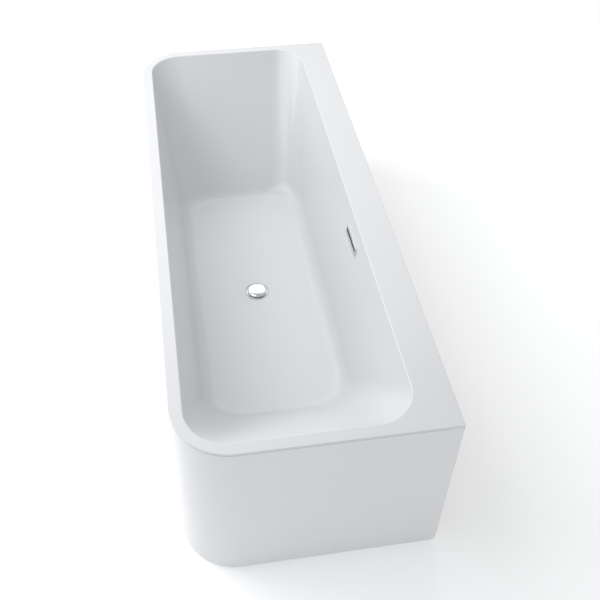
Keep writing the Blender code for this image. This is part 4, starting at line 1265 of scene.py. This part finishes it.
def build_plug(chrome, rubber):
    """Domed cap on its stem, with the seal under it."""
    under = SEAT + CAP_LIFT
    edge = under + CAP_EDGE
    dome = []
    for step in range(DOME_STEPS):
        angle = math.pi / 2 * (1 - step / DOME_STEPS)
        dome.append((CAP * math.sin(angle), edge + CAP_DOME * math.cos(angle)))
    profile = [
        (0.0, STEM_LOW), (STEM - EDGE_ROUND, STEM_LOW), (STEM, STEM_LOW + EDGE_ROUND), (STEM, COLLAR_LOW),
        (STEM_COLLAR, COLLAR_LOW), (STEM_COLLAR, under),
        (CAP - CAP_ROUND, under), (CAP - EDGE_BREAK, under + EDGE_BREAK), (CAP, under + CAP_ROUND),
        *dome, (0.0, edge + CAP_DOME),
    ]
    piece = set_at(turned("domed_plug", profile, closed=False, sides=FINEST), WASTE_PLACE)
    show(piece, chrome, "plug", "chrome", "pop_up_plug")
    low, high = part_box("plug_seal")
    bore = STEM_COLLAR + TOUCH
    outer = (high.x - low.x) / 2
    seal = [
        (bore, high.z), (bore, low.z + SEAL_FALL), (outer - SEAL_LIP, low.z),
        (outer, low.z + 2 * SEAL_ROUND), (outer - SEAL_ROUND, low.z + SEAL_LIP_HEIGHT),
        (outer - 5 * SEAL_ROUND, high.z - SEAL_ROUND), (outer - 6 * SEAL_ROUND, high.z),
    ]
    piece = set_at(turned("seal_ring", seal, edge=SEAL_BREAK), WASTE_PLACE)
    show(piece, rubber, "plug", "rubber", "plug_seal")


def build_waste(chrome, plastic, rubber):
    bore = TAIL - TAIL_WALL
    tail_low = SEAT - TAIL_DEPTH
    lip_under = SEAT + TOUCH
    lip_top = lip_under + FLANGE_RISE
    flange = [
        (bore, tail_low), (TAIL, tail_low), (TAIL, lip_under), (FLANGE, lip_under),
        (FLANGE, lip_under + FLANGE_RISE * FLANGE_SHARE), (FLANGE - FLANGE_ROUND, lip_top - THIN_ROUND),
        (FLANGE - 3 * FLANGE_ROUND, lip_top), (bore + FLANGE_SLOPE, lip_top),
        (bore + FLANGE_SLOPE * FLANGE_SHARE, lip_under), (bore, SEAT - 2 * FLANGE_ROUND),
    ]
    piece = set_at(turned("chrome_flange", flange, sides=FINEST, edge=EDGE_BREAK), WASTE_PLACE)
    show(piece, chrome, "root", "chrome", "waste_flange")
    low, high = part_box("waste_gasket")
    hole = TAIL + RUNNING
    ring = [(hole, low.z), (BODY_FLANGE, low.z), (BODY_FLANGE, high.z), (hole, high.z)]
    piece = set_at(turned("waste_washer", ring, edge=FINE_ROUND, segments=3), WASTE_PLACE)
    show(piece, rubber, "root", "rubber", "waste_gasket")
    top = low.z - TOUCH
    shoulder = top - BODY_FLANGE_HEIGHT
    floor = BODY_BOTTOM + TRAP_WALL
    cup = [
        (SPIGOT_BORE, SPIGOT_BOTTOM), (SPIGOT, SPIGOT_BOTTOM), (SPIGOT, BODY_BOTTOM), (BODY, BODY_BOTTOM),
        (BODY, shoulder), (BODY_FLANGE, shoulder), (BODY_FLANGE, top), (BODY_BORE, top),
        (BODY_BORE, floor), (SPIGOT_BORE, floor),
    ]
    body = set_at(turned("waste_cup", cup, edge=EDGE_ROUND), WASTE_PLACE)
    carve(body, rod("port", HOSE, *port_run((BODY_BORE + BODY) / 2, PORT_REACH)), how="UNION")
    carve(body, rod("port_bore", HOSE_BORE, *port_run(BODY_BORE - RUNNING, PORT_REACH + RUNNING)))
    show(body, plastic, "root", "white_plastic", "waste_body")
    build_cartridge(plastic, bore)


def build_cartridge(plastic, bore):
    """Barrel that guides the plug's stem, carried on arms in the flange's tail."""
    low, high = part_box("plug_cartridge")
    guide = STEM + RUNNING
    floor = STEM_LOW - RUNNING
    profile = [
        (0.0, low.z), (CARTRIDGE, low.z), (CARTRIDGE, high.z), (guide, high.z), (guide, floor), (0.0, floor),
    ]
    barrel = turned("click_barrel", profile, closed=False, sides=SMALL, edge=FINE_ROUND)
    inside = (CARTRIDGE + guide) / 2
    outside = bore - TOUCH
    size = (outside - inside, ARM_WIDTH, ARM_HEIGHT)
    arms = spokes("arms", ARMS, (outside + inside) / 2, SEAT - TAIL_DEPTH + ARM_HEIGHT, size)
    carve(barrel, arms, how="UNION")
    show(set_at(barrel, WASTE_PLACE), plastic, "root", "white_plastic", "plug_cartridge")


def port_direction():
    return Vector((math.cos(PORT_TURN), math.sin(PORT_TURN), 0))


def port_run(start, end):
    """Two points on the axis of the overflow port in the side of the waste."""
    middle = Vector((BASIN_X, 0, PORT_HEIGHT))
    return middle + port_direction() * start, middle + port_direction() * end


def union_nut(name, inner, outer, bottom, top, lip):
    """Nut with a lip over the end of the outer tube, and grip flutes."""
    inside, socket, outside = inner + TOUCH, outer + TOUCH, outer + NUT_WALL
    profile = [
        (socket, bottom), (outside, bottom), (outside, top), (inside, top), (inside, lip), (socket, lip),
    ]
    nut = turned(name, profile, edge=EDGE_ROUND)
    return fluted(nut, outside, NUT_FLUTES, bottom - TOUCH, top - FLUTE_STOP, FLUTE_DEPTH)


def build_trap(plastic, black):
    socket = SPIGOT + TOUCH
    neck = socket + TRAP_WALL
    inside = TRAP - TRAP_WALL
    bottle = [
        (0.0, TRAP_BOTTOM), (TRAP - TRAP_ROUND, TRAP_BOTTOM), (TRAP - TRAP_TURN, TRAP_BOTTOM + TRAP_TURN),
        (TRAP, TRAP_BOTTOM + TRAP_ROUND), (TRAP, TRAP_TOP - TRAP_ROUND),
        (TRAP - TRAP_TURN, TRAP_TOP - TRAP_TURN), (TRAP - TRAP_ROUND, TRAP_TOP),
        (neck, TRAP_TOP), (neck, TRAP_NECK_TOP), (socket, TRAP_NECK_TOP), (socket, TRAP_TOP - TRAP_WALL),
        (inside, TRAP_TOP - TRAP_WALL), (inside, TRAP_BOTTOM + TRAP_WALL), (0.0, TRAP_BOTTOM + TRAP_WALL),
    ]
    body = set_at(turned("bottle_trap", bottle, closed=False, sides=FINEST), WASTE_PLACE)
    middle = TRAP - TRAP_WALL / 2
    end = OUTLET_SOCKET_END
    axis = [(BASIN_X + reach, 0, OUTLET_HEIGHT) for reach in (middle - TRAP_WALL, end)]
    carve(body, rod("socket", OUTLET_SOCKET, *axis, sides=FINE), how="UNION")
    axis = [(BASIN_X + reach, 0, OUTLET_HEIGHT) for reach in (middle - 3 * TRAP_WALL, end + TRAP_WALL)]
    carve(body, rod("socket_bore", OUTLET + TOUCH, *axis, sides=FINE))
    show(body, plastic, "root", "white_plastic", "trap_body")
    reach = (TRAP_TOP + TOUCH, TRAP_NECK_TOP + NUT_WALL, TRAP_NECK_TOP + TOUCH)
    nut = union_nut("trap_ring", SPIGOT, neck, *reach)
    show(set_at(nut, WASTE_PLACE), black, "root", "black_plastic", "trap_nut")
    along_x = Matrix.Translation((BASIN_X, 0, OUTLET_HEIGHT)) @ Matrix.Rotation(math.pi / 2, 4, "Y")
    nut = union_nut("outlet_ring", OUTLET, OUTLET_SOCKET, end - 2 * NUT_WALL, end + NUT_WALL, end + TOUCH)
    show(set_at(nut, along_x), black, "root", "black_plastic", "outlet_nut")
    start, stop = (corner.x - BASIN_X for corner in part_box("outlet_pipe"))
    pipe = [(OUTLET_BORE, start), (OUTLET, start), (OUTLET, stop), (OUTLET_BORE, stop)]
    piece = set_at(turned("waste_pipe", pipe, edge=THIN_ROUND), along_x)
    show(piece, plastic, "root", "white_plastic", "outlet_pipe")


# ---------------------------------------------------------------- overflow


def build_overflow(chrome, rubber, plastic):
    place = overflow_place()
    half = (COVER_LENGTH / 2, COVER_HEIGHT / 2)
    round_low = COVER_THICKNESS - PLATE_ROUND
    cover = start_piece("overflow_plate")
    marks = [slot(half, TOUCH), slot(half, round_low)]
    for step in range(1, PLATE_STEPS + 1):
        turn = math.pi / 2 * step / PLATE_STEPS
        inset = PLATE_ROUND * (1 - math.cos(turn))
        marks.append(slot((half[0] - inset, half[1] - inset), round_low + PLATE_ROUND * math.sin(turn)))
    marks.append(slot((SLIT[0] + FINE_ROUND, SLIT[1] + FINE_ROUND), COVER_THICKNESS))
    marks.append(slot(SLIT, COVER_THICKNESS - FINE_ROUND))
    marks += [slot(SLIT, -COLLAR_DEPTH), slot(COLLAR, -COLLAR_DEPTH), slot(COLLAR, TOUCH)]
    bridge(marks, closed=True)
    end_piece(cover)
    even_shading(set_at(cover, place))
    show(cover, chrome, "root", "chrome", "overflow_cover")
    top = -(ACRYLIC + TOUCH + BACKING) - TOUCH
    gasket = start_piece("overflow_washer")
    ring = ((FLANGE_EDGE, top - GASKET), (FLANGE_EDGE, top), (HOLE, top), (HOLE, top - GASKET))
    bridge([slot(size, depth) for size, depth in ring], closed=True)
    end_piece(gasket)
    soften(gasket, THIN_ROUND)
    show(set_at(gasket, place), rubber, "root", "rubber", "overflow_gasket")
    mouth = top - GASKET - TOUCH
    back = mouth - OVERFLOW_BODY_DEPTH
    casing = (HOLE[0] + OVERFLOW_WALL, HOLE[1] + OVERFLOW_WALL)
    body = start_piece("overflow_casing")
    marks = [
        slot(casing, back, radius=2 * SLOT_CORNER),
        slot(casing, mouth - OVERFLOW_WALL, radius=2 * SLOT_CORNER),
        slot(FLANGE_EDGE, mouth - OVERFLOW_WALL),
        slot(FLANGE_EDGE, mouth),
        slot(HOLE, mouth),
        slot(HOLE, back + OVERFLOW_WALL),
    ]
    bridge(marks)
    cap(marks[0], marks[-1])
    end_piece(body)
    soften(body, PLATE_ROUND)
    set_at(body, place)
    wall = HOLE[1] + OVERFLOW_WALL / 2
    carve(body, rod("spigot", HOSE, below(wall), below(HOSE_SPIGOT_END)), how="UNION")
    bore = (below(HOLE[1] - RUNNING), below(HOSE_SPIGOT_END + RUNNING))
    carve(body, rod("spigot_bore", HOSE_BORE, *bore))
    show(body, plastic, "root", "white_plastic", "overflow_body")


def below(drop):
    """A point on the axis of the overflow's spigot, this far below the overflow's middle."""
    return overflow_place() @ Vector((0, -drop, -HOSE_OFFSET))


def hose_ends():
    """Where the hose starts under the overflow and ends at the waste, and its direction at each."""
    down = (overflow_place().to_3x3() @ Vector((0, -1, 0))).normalized()
    _, bottom = port_run(0, PORT_REACH + TOUCH)
    return below(HOSE_SPIGOT_END + TOUCH), down, bottom, port_direction()


def smooth_route(points, count):
    """Points spread along a smooth curve through the middle ones, straight at the two ends."""
    fine = []
    for index in range(1, len(points) - 2):
        before, start, end, after = points[index - 1 : index + 3]
        for step in range(HOSE_FINENESS):
            t = step / HOSE_FINENESS
            straight = 2 * start + (end - before) * t
            bend = (2 * before - 5 * start + 4 * end - after) * t**2
            swing = (3 * start - before - 3 * end + after) * t**3
            fine.append(0.5 * (straight + bend + swing))
    fine.append(points[-2])
    lengths = [0.0]
    for a, b in zip(fine, fine[1:]):
        lengths.append(lengths[-1] + (b - a).length)
    route = [points[0]]
    for index in range(count):
        want = lengths[-1] * index / (count - 1)
        upper = next(place for place, length in enumerate(lengths) if length >= want - TOUCH)
        upper = max(upper, 1)
        share = (want - lengths[upper - 1]) / (lengths[upper] - lengths[upper - 1])
        route.append(fine[upper - 1].lerp(fine[upper], min(share, 1.0)))
    return [*route, points[-1]]


def build_hose(hose_plastic, black):
    """Corrugated hose behind the basin and under the rear rail, with a nut on each end."""
    top, down, bottom, out = hose_ends()
    lead = HOSE_NUT_LENGTH
    rail_x = middle_of("rear_rail").x
    under_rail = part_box("rear_rail")[0].z - HOSE - BAR / 4
    beside = BASIN_X + OPENING_X - SIDE_RUN + ACRYLIC + TOUCH + BACKING + HOSE_OFFSET
    foot = 0.5 * FLOOR_FILLET
    beside_y, foot_y, past_y, rail_y = (OVERFLOW_Y * share for share in HOSE_SWEEP)
    points = [
        top,
        top + down * lead,
        top + down * (BASIN_DEPTH * HOSE_DROP),
        Vector((beside, beside_y, FLOOR_EDGE + FLOOR_FILLET)),
        Vector((beside - foot, foot_y, FLOOR_EDGE - foot)),
        Vector((rail_x + 2 * BAR, past_y, under_rail + HOSE / 3)),
        Vector((rail_x, rail_y, under_rail)),
        bottom + out * (2 * lead) + Vector((0, 0, -HOSE / 2)),
        bottom + out * lead,
        bottom,
    ]
    route = smooth_route(points, HOSE_POINTS)
    length = sum((b - a).length for a, b in zip(route, route[1:]))
    path = bpy.data.curves.new("hose_path", "CURVE")
    path.dimensions = "3D"
    spline = path.splines.new("POLY")
    spline.points.add(len(route) - 1)
    for point, place in zip(spline.points, route):
        point.co = (*place, 1.0)
    guide = bpy.data.objects.new("hose_path", path)
    bpy.context.collection.objects.link(guide)
    ribs = round(length / RIB_PITCH)
    pitch = length / ribs
    profile = [(HOSE_BORE, 0.0)]
    for rib in range(ribs):
        start = rib * pitch
        rise, crest, fall = (start + share * pitch for share in RIB_SHARES)
        profile += [(HOSE - RIB_DEPTH, start), (HOSE - RIB_DEPTH, rise), (HOSE, crest), (HOSE, fall)]
    profile += [(HOSE - RIB_DEPTH, length), (HOSE_BORE, length)]
    profile += [(HOSE_BORE, rib * pitch) for rib in reversed(range(1, ribs))]
    tube = turned("corrugated_hose", profile, sides=SMALL)
    apply(tube, "CURVE", object=guide, deform_axis="POS_Z")
    throw_away(guide)
    smooth(tube, HOSE_ANGLE)
    show(tube, hose_plastic, "root", "hose", "overflow_hose")
    inner = HOSE + RUNNING
    outer = inner + HOSE_NUT_WALL
    half = HOSE_NUT_LENGTH / 2
    ring = [(inner, -half), (outer, -half), (outer, half), (inner, half)]
    nut = turned("hose_ring", ring, edge=EDGE_ROUND)
    fluted(nut, outer, HOSE_NUT_FLUTES, HOSE_FLUTE_START - half, half + TOUCH, HOSE_FLUTE_DEPTH)
    for end, start, direction in (("upper", top, down), ("lower", bottom, out)):
        turn = direction.to_track_quat("Z", "Y").to_matrix().to_4x4()
        piece = copy_at(nut, end + "_hose_ring", Matrix.Translation(start) @ turn)
        show(piece, black, "root", "black_plastic", end + "_hose_nut")
    throw_away(nut)


# ---------------------------------------------------------------- making the bath


set_camera()
set_studio()

# The basin and the skirt are one acrylic in two copies: the skirt's copy is painted lighter than the basin's,
# as painted light on the skirt.
white = gloss_acrylic("gloss_white_acrylic", (0.706, 0.713, 0.727), (0.713, 0.719, 0.731))
lit_skirt_white = gloss_acrylic("gloss_white_skirt_painted_lighter", (0.741, 0.748, 0.762), (0.748, 0.754, 0.766))
chrome = chrome_plate()
steel = galvanised_steel()
zinc = bright_zinc()
rubber = dusty_rubber()
board = chipboard()
white_plastic = moulded_plastic("white_plastic", (0.70, 0.70, 0.68), (0.80, 0.80, 0.78), 0.32, 0.50, 700.0)
black = ((0.022, 0.022, 0.023), (0.045, 0.045, 0.046))
black_plastic = moulded_plastic("black_plastic", *black, 0.42, 0.62, 900.0)
foot_black = ((0.020, 0.020, 0.021), (0.040, 0.040, 0.041))
foot_plastic = moulded_plastic("foot_plastic", *foot_black, 0.50, 0.72, 800.0)
grey_plastic = moulded_plastic("hose_plastic", (0.42, 0.43, 0.44), (0.56, 0.57, 0.58), 0.38, 0.58, 600.0)
build_basin(white)
build_backing(glass_fibre())
build_skirt(lit_skirt_white)
build_base_board(board)
softwood_along = sawn_softwood("softwood_along", (8.0, 0.5, 8.0))
softwood_across = sawn_softwood("softwood_across", (0.5, 8.0, 8.0))
build_timber(board, softwood_along, softwood_across)
build_cradle(steel)
build_bolts(zinc)
build_feet(foot_plastic, zinc)
build_plug(chrome, rubber)
build_waste(chrome, white_plastic, rubber)
build_trap(white_plastic, black_plastic)
build_overflow(chrome, rubber, white_plastic)
build_hose(grey_plastic, black_plastic)
